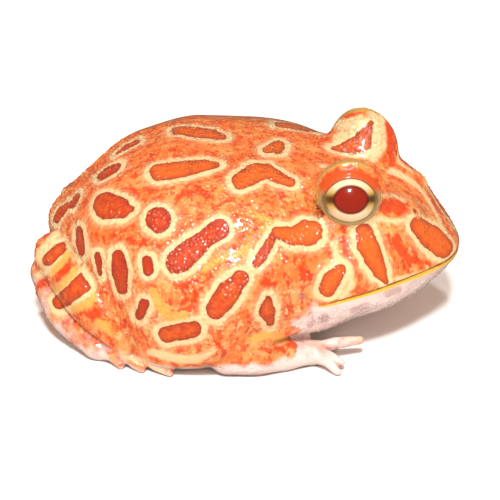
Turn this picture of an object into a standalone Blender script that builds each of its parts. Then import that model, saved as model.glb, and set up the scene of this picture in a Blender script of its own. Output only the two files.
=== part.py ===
"""Albino horned frog sitting on the floor: a still, life-size model in metres.

X points from rump to snout, Y to the frog's left and Z up. All sizes below are in
millimetres and become metres where a mesh is made. The trunk, head and jaw are one
smooth loft that thin cuts divide. Limbs are tapered tubes that lie in beds cut to fit.
"""

import math

import bpy
import numpy as np

METRES = 0.001
GAP = 0.3

# The body from the end of the rump to the tip of the snout.
RUMP_X = -31.2
SNOUT_X = 31.7
BODY_RINGS = 45
BODY_SIDES = 40
SIDE_CROWDING = 0.33

# Stations of the body: x, half width, crest, underside, widest line, mouth line and the
# squareness of the lower half, which is full where the belly rests on the floor.
BODY_STATIONS = (
    (-31.2, 10.0, 18.4, 5.0, 14.2, 12.6, 2.3),
    (-25.5, 14.2, 21.6, 1.2, 12.9, 12.3, 2.3),
    (-18.6, 20.4, 25.6, -1.0, 11.3, 11.9, 2.3),
    (-9.8, 26.2, 28.0, -1.2, 9.7, 11.5, 4.2),
    (-2.0, 26.8, 28.1, -1.2, 9.3, 11.1, 3.1),
    (4.6, 24.0, 27.6, -1.0, 11.8, 10.9, 1.85),
    (12.0, 19.6, 26.5, 0.8, 11.0, 10.9, 2.1),
    (17.6, 17.6, 25.1, 4.4, 11.3, 12.0, 2.3),
    (23.5, 15.0, 22.9, 5.8, 12.4, 12.9, 2.3),
    (27.9, 12.8, 20.2, 6.9, 13.0, 13.0, 2.3),
    (31.7, 11.5, 17.9, 7.9, 13.2, 12.5, 2.3),
)
RUMP_ROUNDING = 11.0
SNOUT_ROUNDING = 11.5
UPPER_POWER = 2.25

# Soft swellings of the body: centre of the near one, reach and height.
CHEEK = ((17.0, -15.5, 14.0), 5.5, 0.7)
SHOULDER = ((6.0, -20.5, 17.0), 7.5, 0.9)
HIP = ((-20.0, -15.0, 18.0), 7.0, 0.8)
CANTHUS = ((25.5, -7.0, 21.5), 3.6, 0.8)
NAPE_DIP = ((14.0, 0.0, 27.0), 5.0, -0.8)
BROW_DIP = ((21.0, 0.0, 25.6), 4.0, -1.0)
LORE_DIP = ((23.5, -12.0, 17.0), 3.6, -0.7)
LIP_REACH = 1.1
LIP_HEIGHT = 0.45

# Cuts that divide the body.
NECK_X = 10.6
NECK_LEAN = math.radians(10.0)
MOUTH_RISE = 0.15
SEAM_REACH = 0.0005
NOSTRIL_PLACE = (26.3, -4.9)
NOSTRIL_SIZE = (0.85, 0.6, 0.7)

# Eyes and the lids above them that carry the horns.
EYE_CENTRE = (16.1, -9.9, 24.3)
EYE_RADIUS = 4.5
EYE_AZIMUTH = math.radians(10.0)
EYE_LIFT = math.radians(20.0)
OPENING_LENGTH = 8.3
OPENING_HEIGHT = 7.0
LID_RIM = 0.6
HORN_TIP = (16.3, -10.3, 30.2)
MOUND_FOOT = (16.4, -7.6, 16.2)
MOUND_RADII = (5.2, 5.6)
MOUND_FLARE = 0.2
LID_PARTING = 24.2

# Nodes of one side as paths: x, y, z, half width and half height at each stop.
UPPER_ARM_PATH = (
    (9.0, -16.4, 8.8, 3.3, 3.4),
    (4.6, -19.2, 7.2, 3.3, 3.4),
    (0.2, -21.3, 4.4, 2.8, 2.9),
)
FOREARM_PATH = (
    (-0.3, -21.5, 2.9, 2.9, 2.9),
    (3.6, -20.9, 2.8, 2.9, 2.9),
    (7.6, -18.8, 2.3, 2.4, 2.3),
)
PALM_PATH = (
    (7.2, -18.9, 2.2, 2.2, 2.2),
    (9.6, -17.6, 1.9, 2.5, 1.9),
    (11.8, -16.5, 1.7, 2.1, 1.7),
)
FINGER_TIPS = (
    (14.6, -12.6, 0.7),
    (18.5, -14.3, 3.0),
    (16.2, -18.9, 1.5),
    (15.9, -20.2, 0.7),
)
FINGER_ROOT = 1.15
FINGER_END = 0.62
THIGH_PATH = (
    (-25.2, -8.0, 12.0, 4.0, 4.6),
    (-20.6, -14.7, 10.4, 4.0, 5.4),
    (-15.4, -19.7, 6.2, 3.5, 4.0),
)
SHANK_PATH = (
    (-15.6, -20.6, 4.2, 2.6, 3.0),
    (-21.6, -17.2, 8.4, 3.5, 4.1),
    (-28.1, -9.4, 11.6, 3.6, 3.8),
)
SOLE_PATH = (
    (-30.1, -8.6, 8.2, 2.5, 3.1),
    (-26.4, -14.4, 4.8, 2.6, 3.0),
    (-20.4, -19.0, 2.0, 2.6, 2.0),
)
TOE_TIPS = (
    (-15.6, -17.6, 0.5),
    (-12.0, -21.0, 0.5),
    (-8.6, -24.0, 0.7),
    (-12.9, -23.3, 0.6),
    (-16.2, -22.6, 0.6),
)
TOE_ROOT = 1.3
TOE_END = 0.6

# Photo colours as linear RGB with the roughness of wet skin.
SKIN_ORANGE = (0.91, 0.26, 0.08, 1.0)
SKIN_PALE = (0.87, 0.68, 0.60, 1.0)
SKIN_RED = (0.60, 0.09, 0.03, 1.0)
SKIN_CREAM = (0.95, 0.62, 0.34, 1.0)
EYE_CREAM = (0.90, 0.80, 0.48, 1.0)
SKIN_ROUGHNESS = 0.28
EYE_ROUGHNESS = 0.08


def clear_scene():
    """Removes every object that the start file brings."""
    for obj in list(bpy.data.objects):
        bpy.data.objects.remove(obj, do_unlink=True)


def smooth_curve(stops, values, wanted):
    """Values between the stops on a cubic that never overshoots them."""
    stops = np.asarray(stops, float)
    values = np.asarray(values, float)
    steps = np.diff(stops)
    slopes = np.diff(values) / steps
    inner = np.where(
        slopes[:-1] * slopes[1:] > 0,
        2 * slopes[:-1] * slopes[1:] / np.where(slopes[:-1] + slopes[1:] == 0, 1, slopes[:-1] + slopes[1:]),
        0.0,
    )
    tangents = np.concatenate([slopes[:1], inner, slopes[-1:]])
    place = np.clip(np.searchsorted(stops, wanted) - 1, 0, len(steps) - 1)
    part = (wanted - stops[place]) / steps[place]
    rise = values[place + 1] - values[place]
    start = tangents[place] * steps[place]
    end = tangents[place + 1] * steps[place]
    return (
        values[place]
        + part * start
        + part**2 * (3 * rise - 2 * start - end)
        + part**3 * (start + end - 2 * rise)
    )


def body_column(x, column):
    """One column of the body stations at the places x."""
    table = np.array(BODY_STATIONS)
    return smooth_curve(table[:, 0], table[:, column], np.asarray(x, float))


def mouth_height(x):
    """Height of the mouth line."""
    return body_column(x, 5)


def roof_height(x, y):
    """Height of the top of the body over a place on the floor."""
    share = float(end_rounding(np.array(x)))
    width = float(body_column(x, 1)) * share
    widest = float(body_column(x, 4))
    tall = (float(body_column(x, 2)) - widest) * share
    return widest + tall * (1 - abs(y / width) ** UPPER_POWER) ** (1 / UPPER_POWER)


def mesh_object(name, points, faces):
    """An object from points in millimetres and a list of faces."""
    mesh = bpy.data.meshes.new(name)
    mesh.from_pydata((np.asarray(points, float) * METRES).tolist(), [], faces)
    mesh.validate()
    obj = bpy.data.objects.new(name, mesh)
    bpy.context.scene.collection.objects.link(obj)
    return obj


def ring_faces(rings, sides):
    """Quads between neighbouring rings and a fan at each end."""
    faces = []
    for ring in range(rings - 1):
        for side in range(sides):
            after = (side + 1) % sides
            low = ring * sides
            high = low + sides
            faces.append((low + side, low + after, high + after, high + side))
    first = rings * sides
    last = first + 1
    for side in range(sides):
        after = (side + 1) % sides
        faces.append((first, after, side))
        faces.append((last, (rings - 1) * sides + side, (rings - 1) * sides + after))
    return faces


def closed_loft(name, rings, first_pole, last_pole):
    """A closed object through rings of shape (rings, sides, 3) and a pole at each end."""
    count, sides, _ = rings.shape
    points = np.vstack([rings.reshape(-1, 3), first_pole, last_pole])
    obj = mesh_object(name, points, ring_faces(count, sides))
    face_outwards(obj)
    return obj


def signed_volume(mesh):
    """Volume of a closed mesh, negative where its faces point inwards."""
    mesh.calc_loop_triangles()
    points = np.empty(len(mesh.vertices) * 3)
    mesh.vertices.foreach_get("co", points)
    corners = np.empty(len(mesh.loop_triangles) * 3, int)
    mesh.loop_triangles.foreach_get("vertices", corners)
    return float(np.linalg.det(points.reshape(-1, 3)[corners.reshape(-1, 3)]).sum() / 6)


def face_outwards(obj):
    """Turns all faces round where the mesh is inside out."""
    if signed_volume(obj.data) < 0:
        obj.data.flip_normals()


def swell(points, normals, bump):
    """Pushes points out along their normals near the bump and near its mirror image."""
    centre, reach, height = bump
    for side in (1.0, -1.0):
        middle = np.array(centre) * (1.0, side, 1.0)
        far = np.linalg.norm(points - middle, axis=-1) / reach
        points = points + normals * (height * np.exp(-(far**2)))[..., None]
        if centre[1] == 0.0:
            break
    return points


def grid_normals(rings):
    """Outward normals of a loft from its neighbouring rings and sides."""
    along = np.gradient(rings, axis=0)
    around = np.roll(rings, -1, axis=1) - np.roll(rings, 1, axis=1)
    normals = np.cross(around, along)
    length = np.linalg.norm(normals, axis=-1, keepdims=True)
    normals = normals / np.maximum(length, 1e-9)
    middle = rings.mean(axis=1, keepdims=True)
    turned = np.sign((normals * (rings - middle)).sum(axis=(1, 2), keepdims=True))
    return normals * np.where(turned == 0, 1, turned)


def end_rounding(x):
    """Share of the full section that is left near the two blunt ends."""
    rump = np.clip((RUMP_X + RUMP_ROUNDING - x) / RUMP_ROUNDING, 0, 1)
    snout = np.clip((x - SNOUT_X + SNOUT_ROUNDING) / SNOUT_ROUNDING, 0, 1)
    return np.sqrt(np.clip(1 - rump**2.2, 0, 1)) * np.sqrt(np.clip(1 - snout**2.2, 0, 1))


def build_body():
    """Trunk, head and jaw as one loft of rounded sections along X."""
    turn = np.linspace(0.0, math.pi, BODY_RINGS + 2)[1:-1]
    middle = (RUMP_X + SNOUT_X) / 2
    x = middle - np.cos(turn) * (SNOUT_X - RUMP_X) / 2
    even = np.linspace(0.0, 2 * math.pi, BODY_SIDES, endpoint=False)
    angle = even - SIDE_CROWDING * np.sin(2 * even)
    share = end_rounding(x)[:, None]
    widest = body_column(x, 4)[:, None]
    width = body_column(x, 1)[:, None] * share
    above = (body_column(x, 2)[:, None] - widest) * share
    below = (widest - body_column(x, 3)[:, None]) * share
    cos = np.cos(angle)[None, :]
    sin = np.sin(angle)[None, :]
    power = np.where(sin >= 0, UPPER_POWER, body_column(x, 6)[:, None])
    y = width * np.sign(cos) * np.abs(cos) ** (2 / power)
    tall = np.where(sin >= 0, above, below)
    z = widest + tall * np.sign(sin) * np.abs(sin) ** (2 / power)
    rings = np.stack([np.broadcast_to(x[:, None], y.shape), y, z], axis=-1)
    normals = grid_normals(rings)
    for bump in (CHEEK, SHOULDER, HIP, CANTHUS, NAPE_DIP, BROW_DIP, LORE_DIP):
        rings = swell(rings, normals, bump)
    mouth = mouth_height(x)[:, None]
    lip = np.exp(-(((z - mouth) / LIP_REACH) ** 2)) * np.clip((x - 13.0) / 3.0, 0, 1)[:, None]
    rings = rings + normals * (LIP_HEIGHT * lip)[..., None]
    rump = (RUMP_X - 0.1, 0.0, float(widest[0, 0]))
    snout = (SNOUT_X + 0.1, 0.0, float(widest[-1, 0]))
    return closed_loft("body", rings, rump, snout)


def tube(name, path, sides, rings, swollen=0.0):
    """A tapered tube with round ends through the stops of a path, grown by swollen."""
    stops = np.array(path, float)
    lengths = np.linalg.norm(np.diff(stops[:, :3], axis=0), axis=1)
    marks = np.concatenate([[0.0], np.cumsum(lengths)])
    total = marks[-1]
    front = stops[0, 3] + swollen
    back = stops[-1, 3] + swollen
    turn = np.linspace(0.0, math.pi, rings + 2)[1:-1]
    along = -front + (1 - np.cos(turn)) / 2 * (total + front + back)
    inside = np.clip(along, 0.0, total)
    centre = np.stack([smooth_curve(marks, stops[:, axis], inside) for axis in range(3)], axis=1)
    wide = smooth_curve(marks, stops[:, 3], inside) + swollen
    tall = smooth_curve(marks, stops[:, 4], inside) + swollen
    tiny = 0.01 * total
    ahead = np.stack(
        [smooth_curve(marks, stops[:, axis], np.minimum(inside + tiny, total)) for axis in range(3)], axis=1
    )
    behind = np.stack(
        [smooth_curve(marks, stops[:, axis], np.maximum(inside - tiny, 0.0)) for axis in range(3)], axis=1
    )
    heading = ahead - behind
    heading /= np.linalg.norm(heading, axis=1, keepdims=True)
    centre = centre + heading * (along - inside)[:, None]
    past = np.maximum(-along / front, 0) + np.maximum((along - total) / back, 0)
    share = np.sqrt(np.clip(1 - past**2, 0, 1))
    side = np.cross((0.0, 0.0, 1.0), heading)
    side /= np.linalg.norm(side, axis=1, keepdims=True)
    up = np.cross(heading, side)
    angle = np.linspace(0.0, 2 * math.pi, sides, endpoint=False)
    out = (
        side[:, None, :] * (np.cos(angle)[None, :, None] * (wide * share)[:, None, None])
        + up[:, None, :] * (np.sin(angle)[None, :, None] * (tall * share)[:, None, None])
    )
    surface = centre[:, None, :] + out
    first = stops[0, :3] - heading[0] * front
    last = stops[-1, :3] + heading[-1] * back
    return closed_loft(name, surface, first, last)


def digit_path(root, tip, thick, thin):
    """A finger or toe that leaves the palm and bows up slightly before its tip."""
    root = np.array(root, float)
    tip = np.array(tip, float)
    middle = root + (tip - root) * 0.55
    middle[2] += 0.5
    return (
        (*root, thick, thick),
        (*middle, (thick + thin) / 2, (thick + thin) / 2),
        (*tip, thin, thin),
    )


def eye_axis():
    """Direction in which the near eye looks."""
    return np.array(
        (
            math.sin(EYE_AZIMUTH) * math.cos(EYE_LIFT),
            -math.cos(EYE_AZIMUTH) * math.cos(EYE_LIFT),
            math.sin(EYE_LIFT),
        )
    )


def eye_ball(name, swollen=0.0):
    """The eyeball as rings about its axis of sight."""
    axis = eye_axis()
    side = np.cross(axis, (0.0, 0.0, 1.0))
    side /= np.linalg.norm(side)
    up = np.cross(side, axis)
    radius = EYE_RADIUS + swollen
    turn = np.linspace(0.0, math.pi, 14)[1:-1]
    angle = np.linspace(0.0, 2 * math.pi, 20, endpoint=False)
    centre = np.array(EYE_CENTRE)
    rings = (
        centre
        - axis * (radius * np.cos(turn))[:, None, None]
        + side * (radius * np.sin(turn)[:, None] * np.cos(angle)[None, :])[..., None]
        + up * (radius * np.sin(turn)[:, None] * np.sin(angle)[None, :])[..., None]
    )
    return closed_loft(name, rings, centre - axis * radius, centre + axis * radius)


def lid_opening(name):
    """A flaring cutter that opens the lids in front of the eye."""
    axis = eye_axis()
    side = np.cross(axis, (0.0, 0.0, 1.0))
    side /= np.linalg.norm(side)
    up = np.cross(side, axis)
    angle = np.linspace(0.0, 2 * math.pi, 24, endpoint=False)
    depth = np.array((1.5, 3.0, 5.0, 9.0))
    spread = np.array((0.9, 0.97, 1.06, 1.3))
    centre = np.array(EYE_CENTRE)
    rings = (
        centre
        + axis * depth[:, None, None]
        + side * (spread[:, None] * np.cos(angle)[None, :] * OPENING_LENGTH / 2)[..., None]
        + up * (spread[:, None] * np.sin(angle)[None, :] * OPENING_HEIGHT / 2)[..., None]
    )
    return closed_loft(name, rings, centre + axis * 1.4, centre + axis * 9.1)


def lid_rim(name, swollen=0.0):
    """A rounded rim that follows the edge of the opening over the eyeball."""
    axis = eye_axis()
    side = np.cross(axis, (0.0, 0.0, 1.0))
    side /= np.linalg.norm(side)
    up = np.cross(side, axis)
    angle = np.linspace(0.0, 2 * math.pi, 24, endpoint=False)
    long = OPENING_LENGTH / 2 + LID_RIM * 0.7
    high = OPENING_HEIGHT / 2 + LID_RIM * 0.7
    across = long * np.cos(angle)
    rise = high * np.sin(angle)
    reach = np.hypot(across, rise)
    out = EYE_RADIUS + GAP + LID_RIM * 0.6
    depth = np.sqrt(np.maximum(out**2 - reach**2, 0.8))
    centre = np.array(EYE_CENTRE)
    spine = (
        centre
        + side * across[:, None]
        + up * rise[:, None]
        + axis * depth[:, None]
    )
    heading = np.roll(spine, -1, axis=0) - np.roll(spine, 1, axis=0)
    heading /= np.linalg.norm(heading, axis=1, keepdims=True)
    outward = spine - centre
    outward /= np.linalg.norm(outward, axis=1, keepdims=True)
    level = np.cross(heading, outward)
    turn = np.linspace(0.0, 2 * math.pi, 7, endpoint=False)
    rings = (
        spine[:, None, :]
        + outward[:, None, :] * ((LID_RIM + swollen) * np.cos(turn))[None, :, None]
        + level[:, None, :] * ((LID_RIM + swollen) * np.sin(turn))[None, :, None]
    )
    count, sides, _ = rings.shape
    faces = []
    for ring in range(count):
        for place in range(sides):
            after = (place + 1) % sides
            low = ring * sides
            high_ring = ((ring + 1) % count) * sides
            faces.append((low + place, low + after, high_ring + after, high_ring + place))
    obj = mesh_object(name, rings.reshape(-1, 3), faces)
    face_outwards(obj)
    return obj


def lid_mound(name, swollen=0.0):
    """The raised orbit and its lid as ovals that narrow towards the horn tip."""
    low = np.array(MOUND_FOOT)
    high = np.array(HORN_TIP)
    share = np.sin(np.linspace(0.0, math.pi / 2, 13))[:-1]
    height = (low[2] - swollen) + share * (high[2] + swollen - low[2] + swollen)
    lean = np.clip((height - low[2]) / (high[2] - low[2]), 0, 1)
    over = np.clip((height - EYE_CENTRE[2]) / (high[2] + swollen - EYE_CENTRE[2]), 0, 1)
    narrow = np.sqrt(np.clip(1 - over**2.1, 0, 1))
    angle = np.linspace(0.0, 2 * math.pi, 22, endpoint=False)
    x = low[0] + (high[0] - low[0]) * lean
    y = low[1] + (high[1] - low[1]) * lean
    flare = 1 + MOUND_FLARE * (1 - lean) ** 1.5
    long = MOUND_RADII[0] * narrow * flare + swollen
    wide = MOUND_RADII[1] * narrow * flare + swollen
    rings = np.stack(
        [
            x[:, None] + long[:, None] * np.cos(angle)[None, :],
            y[:, None] + wide[:, None] * np.sin(angle)[None, :],
            np.broadcast_to(height[:, None], (len(height), len(angle))),
        ],
        axis=-1,
    )
    return closed_loft(name, rings, low - (0, 0, swollen + 0.05), high + (0, 0, swollen))


def box(name, low, high):
    """A box between two corners."""
    corners = [
        (x, y, z)
        for x in (low[0], high[0])
        for y in (low[1], high[1])
        for z in (low[2], high[2])
    ]
    faces = [(0, 1, 3, 2), (4, 6, 7, 5), (0, 4, 5, 1), (2, 3, 7, 6), (0, 2, 6, 4), (1, 5, 7, 3)]
    obj = mesh_object(name, corners, faces)
    face_outwards(obj)
    return obj


def neck_side(name, front):
    """A leaning block that fills the space in front of the neck cut or behind it."""
    reach = 60.0
    edge = GAP / 2 if front else -GAP / 2
    far = reach if front else -reach
    lean = math.tan(NECK_LEAN)
    low_x = NECK_X + edge + lean * 15.0
    high_x = NECK_X + edge - lean * 25.0
    corners = [
        (low_x, -50.0, -5.0),
        (low_x, 50.0, -5.0),
        (high_x, -50.0, 35.0),
        (high_x, 50.0, 35.0),
        (low_x + far, -50.0, -5.0),
        (low_x + far, 50.0, -5.0),
        (high_x + far, -50.0, 35.0),
        (high_x + far, 50.0, 35.0),
    ]
    faces = [(0, 1, 3, 2), (4, 6, 7, 5), (0, 4, 5, 1), (2, 3, 7, 6), (0, 2, 6, 4), (1, 5, 7, 3)]
    obj = mesh_object(name, corners, faces)
    face_outwards(obj)
    return obj


def mouth_side(name, upper):
    """Everything on one side of the mouth cut, bounded by the curve of the mouth line."""
    x = np.linspace(5.0, 40.0, 24)
    edge = mouth_height(np.clip(x, RUMP_X, SNOUT_X)) + MOUTH_RISE
    edge = edge + (GAP / 2 if upper else -GAP / 2)
    far = 60.0 if upper else -40.0
    section = [(a, b) for a, b in zip(x, edge)] + [(x[-1], far), (x[0], far)]
    count = len(section)
    points = [(a, -50.0, b) for a, b in section] + [(a, 50.0, b) for a, b in section]
    faces = [tuple(range(count)), tuple(range(2 * count - 1, count - 1, -1))]
    for index in range(count):
        after = (index + 1) % count
        faces.append((index, count + index, count + after, after))
    obj = mesh_object(name, points, faces)
    face_outwards(obj)
    return obj


def ellipsoid(name, centre, radii):
    """An ellipsoid for the nostril pits."""
    turn = np.linspace(0.0, math.pi, 9)[1:-1]
    angle = np.linspace(0.0, 2 * math.pi, 12, endpoint=False)
    middle = np.array(centre)
    rings = middle + np.stack(
        [
            radii[0] * np.sin(turn)[:, None] * np.cos(angle)[None, :],
            radii[1] * np.sin(turn)[:, None] * np.sin(angle)[None, :],
            -radii[2] * np.cos(turn)[:, None] * np.ones(12)[None, :],
        ],
        axis=-1,
    )
    return closed_loft(name, rings, middle - (0, 0, radii[2]), middle + (0, 0, radii[2]))


def believable(before, tool, after, operation):
    """Whether a Boolean's volume lies between the bounds that its operands set."""
    slack = 0.002 * (before + tool)
    if operation == "UNION":
        return max(before, tool) - slack <= after <= before + tool + slack
    if operation == "DIFFERENCE":
        return before - tool - slack <= after <= before + slack
    return 0 < after <= min(before, tool) + slack


def combine(obj, other, operation):
    """Applies one exact Boolean of other to obj and checks the volume that it leaves."""
    before = signed_volume(obj.data)
    tool = signed_volume(other.data)
    modifier = obj.modifiers.new(operation.lower(), "BOOLEAN")
    modifier.operation = operation
    modifier.solver = "EXACT"
    modifier.object = other
    bpy.context.view_layer.update()
    graph = bpy.context.evaluated_depsgraph_get()
    result = bpy.data.meshes.new_from_object(obj.evaluated_get(graph))
    obj.modifiers.clear()
    obj.data = result
    keep_largest(obj)
    after = signed_volume(obj.data)
    if not believable(before, tool, after, operation):
        raise ValueError("%s of %s and %s fails" % (operation, obj.name, other.name))


def keep_largest(obj):
    """Keeps only the closed surface of the greatest volume."""
    mesh = obj.data
    count = len(mesh.vertices)
    ends = np.empty(len(mesh.edges) * 2, int)
    mesh.edges.foreach_get("vertices", ends)
    ends = ends.reshape(-1, 2)
    label = np.arange(count)
    changed = True
    while changed:
        low = np.minimum(label[ends[:, 0]], label[ends[:, 1]])
        after = label.copy()
        np.minimum.at(after, ends[:, 0], low)
        np.minimum.at(after, ends[:, 1], low)
        after = after[after]
        changed = bool((after != label).any())
        label = after
    groups = np.unique(label)
    if len(groups) == 1:
        return
    mesh.calc_loop_triangles()
    points = np.empty(count * 3)
    mesh.vertices.foreach_get("co", points)
    points = points.reshape(-1, 3)
    corners = np.empty(len(mesh.loop_triangles) * 3, int)
    mesh.loop_triangles.foreach_get("vertices", corners)
    corners = corners.reshape(-1, 3)
    volumes = np.linalg.det(points[corners])
    owner = label[corners[:, 0]]
    best = max(groups, key=lambda group: volumes[owner == group].sum())
    kept = label == best
    place = np.cumsum(kept) - 1
    faces = [
        tuple(place[list(face.vertices)].tolist()) for face in mesh.polygons if kept[face.vertices[0]]
    ]
    fresh = bpy.data.meshes.new(mesh.name)
    fresh.from_pydata(points[kept].tolist(), [], faces)
    obj.data = fresh


def copy_of(obj, name):
    """A free copy of an object."""
    twin = bpy.data.objects.new(name, obj.data.copy())
    bpy.context.scene.collection.objects.link(twin)
    return twin


def whole(obj):
    """Joins a near half to its mirror image across the plane y = 0."""
    mesh = obj.data
    count = len(mesh.vertices)
    points = np.empty(count * 3)
    mesh.vertices.foreach_get("co", points)
    points = points.reshape(-1, 3)
    middle = np.abs(points[:, 1]) < SEAM_REACH * METRES
    points[middle, 1] = 0.0
    twin = np.where(middle, np.arange(count), np.cumsum(~middle) - 1 + count)
    faces = [list(face.vertices) for face in mesh.polygons]
    faces = [face for face in faces if not middle[face].all()]
    faces += [twin[face[::-1]].tolist() for face in faces]
    points = np.vstack([points, points[~middle] * (1.0, -1.0, 1.0)])
    used = np.zeros(len(points), bool)
    for face in faces:
        used[face] = True
    place = np.cumsum(used) - 1
    fresh = bpy.data.meshes.new(mesh.name)
    fresh.from_pydata(points[used].tolist(), [], [place[face].tolist() for face in faces])
    obj.data = fresh


def mirrored(obj, name):
    """The same solid on the frog's other side."""
    twin = copy_of(obj, name)
    points = np.empty(len(twin.data.vertices) * 3)
    twin.data.vertices.foreach_get("co", points)
    points = points.reshape(-1, 3) * (1.0, -1.0, 1.0)
    twin.data.vertices.foreach_set("co", points.reshape(-1))
    twin.data.flip_normals()
    twin.data.update()
    return twin


def drop(objects):
    """Removes helpers."""
    for obj in objects:
        bpy.data.objects.remove(obj, do_unlink=True)


def cut_all(obj, cutters):
    """Subtracts each cutter in turn."""
    for cutter in cutters:
        combine(obj, cutter, "DIFFERENCE")


def material(name, colour, roughness):
    """A plain surface with the photo's colour."""
    made = bpy.data.materials.new(name)
    made.use_nodes = True
    shader = made.node_tree.nodes["Principled BSDF"]
    shader.inputs["Base Color"].default_value = colour
    shader.inputs["Roughness"].default_value = roughness
    shader.inputs["Metallic"].default_value = 0.0
    made.diffuse_color = colour
    return made


def finish(obj, name, colour, roughness):
    """Names a node, shades it smooth and gives it its own material."""
    obj.name = name
    obj.data.name = name
    obj.data.materials.clear()
    obj.data.materials.append(material("mat_" + name, colour, roughness))
    obj.data.shade_smooth()
    obj.data.update()


def centre_in_plan():
    """Moves every mesh along X so that the model's middle is over the origin."""
    meshes = [obj.data for obj in bpy.context.scene.collection.objects]
    clouds = []
    for mesh in meshes:
        points = np.empty(len(mesh.vertices) * 3)
        mesh.vertices.foreach_get("co", points)
        clouds.append(points.reshape(-1, 3))
    low = min(cloud[:, 0].min() for cloud in clouds)
    high = max(cloud[:, 0].max() for cloud in clouds)
    for mesh, cloud in zip(meshes, clouds):
        cloud[:, 0] -= (low + high) / 2
        mesh.vertices.foreach_set("co", cloud.reshape(-1))
        mesh.update()


def limb_parts(swollen=0.0):
    """The tubes of each node of the near limbs, grown by swollen."""
    mark = "grown_" if swollen else "limb_"
    hand = [tube(mark + "palm", PALM_PATH, 12, 8, swollen)]
    knuckles = np.array(PALM_PATH[-1][:3]) - (0.6, 0.3, 0.1)
    for index, tip in enumerate(FINGER_TIPS):
        path = digit_path(knuckles, tip, FINGER_ROOT, FINGER_END)
        hand.append(tube(mark + "finger%d" % index, path, 8, 8, swollen))
    foot = [tube(mark + "sole", SOLE_PATH, 14, 11, swollen)]
    ball = np.array(SOLE_PATH[-1][:3]) + (0.3, -0.4, -0.3)
    for index, tip in enumerate(TOE_TIPS):
        path = digit_path(ball, tip, TOE_ROOT, TOE_END)
        foot.append(tube(mark + "toe%d" % index, path, 8, 8, swollen))
    return {
        "hand": hand,
        "forearm": [tube(mark + "forearm", FOREARM_PATH, 14, 9, swollen)],
        "upper_arm": [tube(mark + "upper_arm", UPPER_ARM_PATH, 14, 9, swollen)],
        "foot": foot,
        "shank": [tube(mark + "shank", SHANK_PATH, 16, 11, swollen)],
        "thigh": [tube(mark + "thigh", THIGH_PATH, 14, 10, swollen)],
    }


def joined(parts):
    """One solid from overlapping tubes."""
    whole = parts[0]
    for part in parts[1:]:
        combine(whole, part, "UNION")
    drop(parts[1:])
    return whole


def build_limbs(floor):
    """The near limbs, each in front of the next one down, and the beds that they need."""
    solids = {name: joined(parts) for name, parts in limb_parts().items()}
    beds = {name: joined(parts) for name, parts in limb_parts(GAP).items()}
    order = ("hand", "forearm", "upper_arm")
    for index, name in enumerate(order):
        cut_all(solids[name], [beds[other] for other in order[:index]])
    order = ("foot", "shank", "thigh")
    for index, name in enumerate(order):
        cut_all(solids[name], [beds[other] for other in order[:index]])
    for solid in solids.values():
        combine(solid, floor, "DIFFERENCE")
    return solids, beds


def build_head(head, eye_bed, opening):
    """Adds the orbit to the head, opens the lids and parts off the upper lid as the horn."""
    mound = lid_mound("mound")
    rim = lid_rim("rim")
    above = box("above", (0.0, -40.0, LID_PARTING + GAP / 2), (40.0, 0.0, 50.0))
    higher = box("higher", (0.0, -40.0, LID_PARTING - GAP / 2), (40.0, 0.0, 50.0))
    horn_bed = lid_mound("horn_bed", GAP)
    rim_bed = lid_rim("rim_bed", GAP)
    combine(horn_bed, rim_bed, "UNION")
    combine(horn_bed, higher, "INTERSECT")
    horn = copy_of(mound, "horn")
    combine(horn, opening, "DIFFERENCE")
    combine(horn, rim, "UNION")
    combine(horn, above, "INTERSECT")
    combine(horn, eye_bed, "DIFFERENCE")
    nostril = (*NOSTRIL_PLACE, roof_height(*NOSTRIL_PLACE))
    pit = ellipsoid("pit", nostril, NOSTRIL_SIZE)
    combine(head, mound, "UNION")
    combine(head, opening, "DIFFERENCE")
    combine(head, rim, "UNION")
    cut_all(head, [horn_bed, eye_bed, pit])
    drop([mound, rim, horn_bed, rim_bed, pit, above, higher])
    return horn


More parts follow.
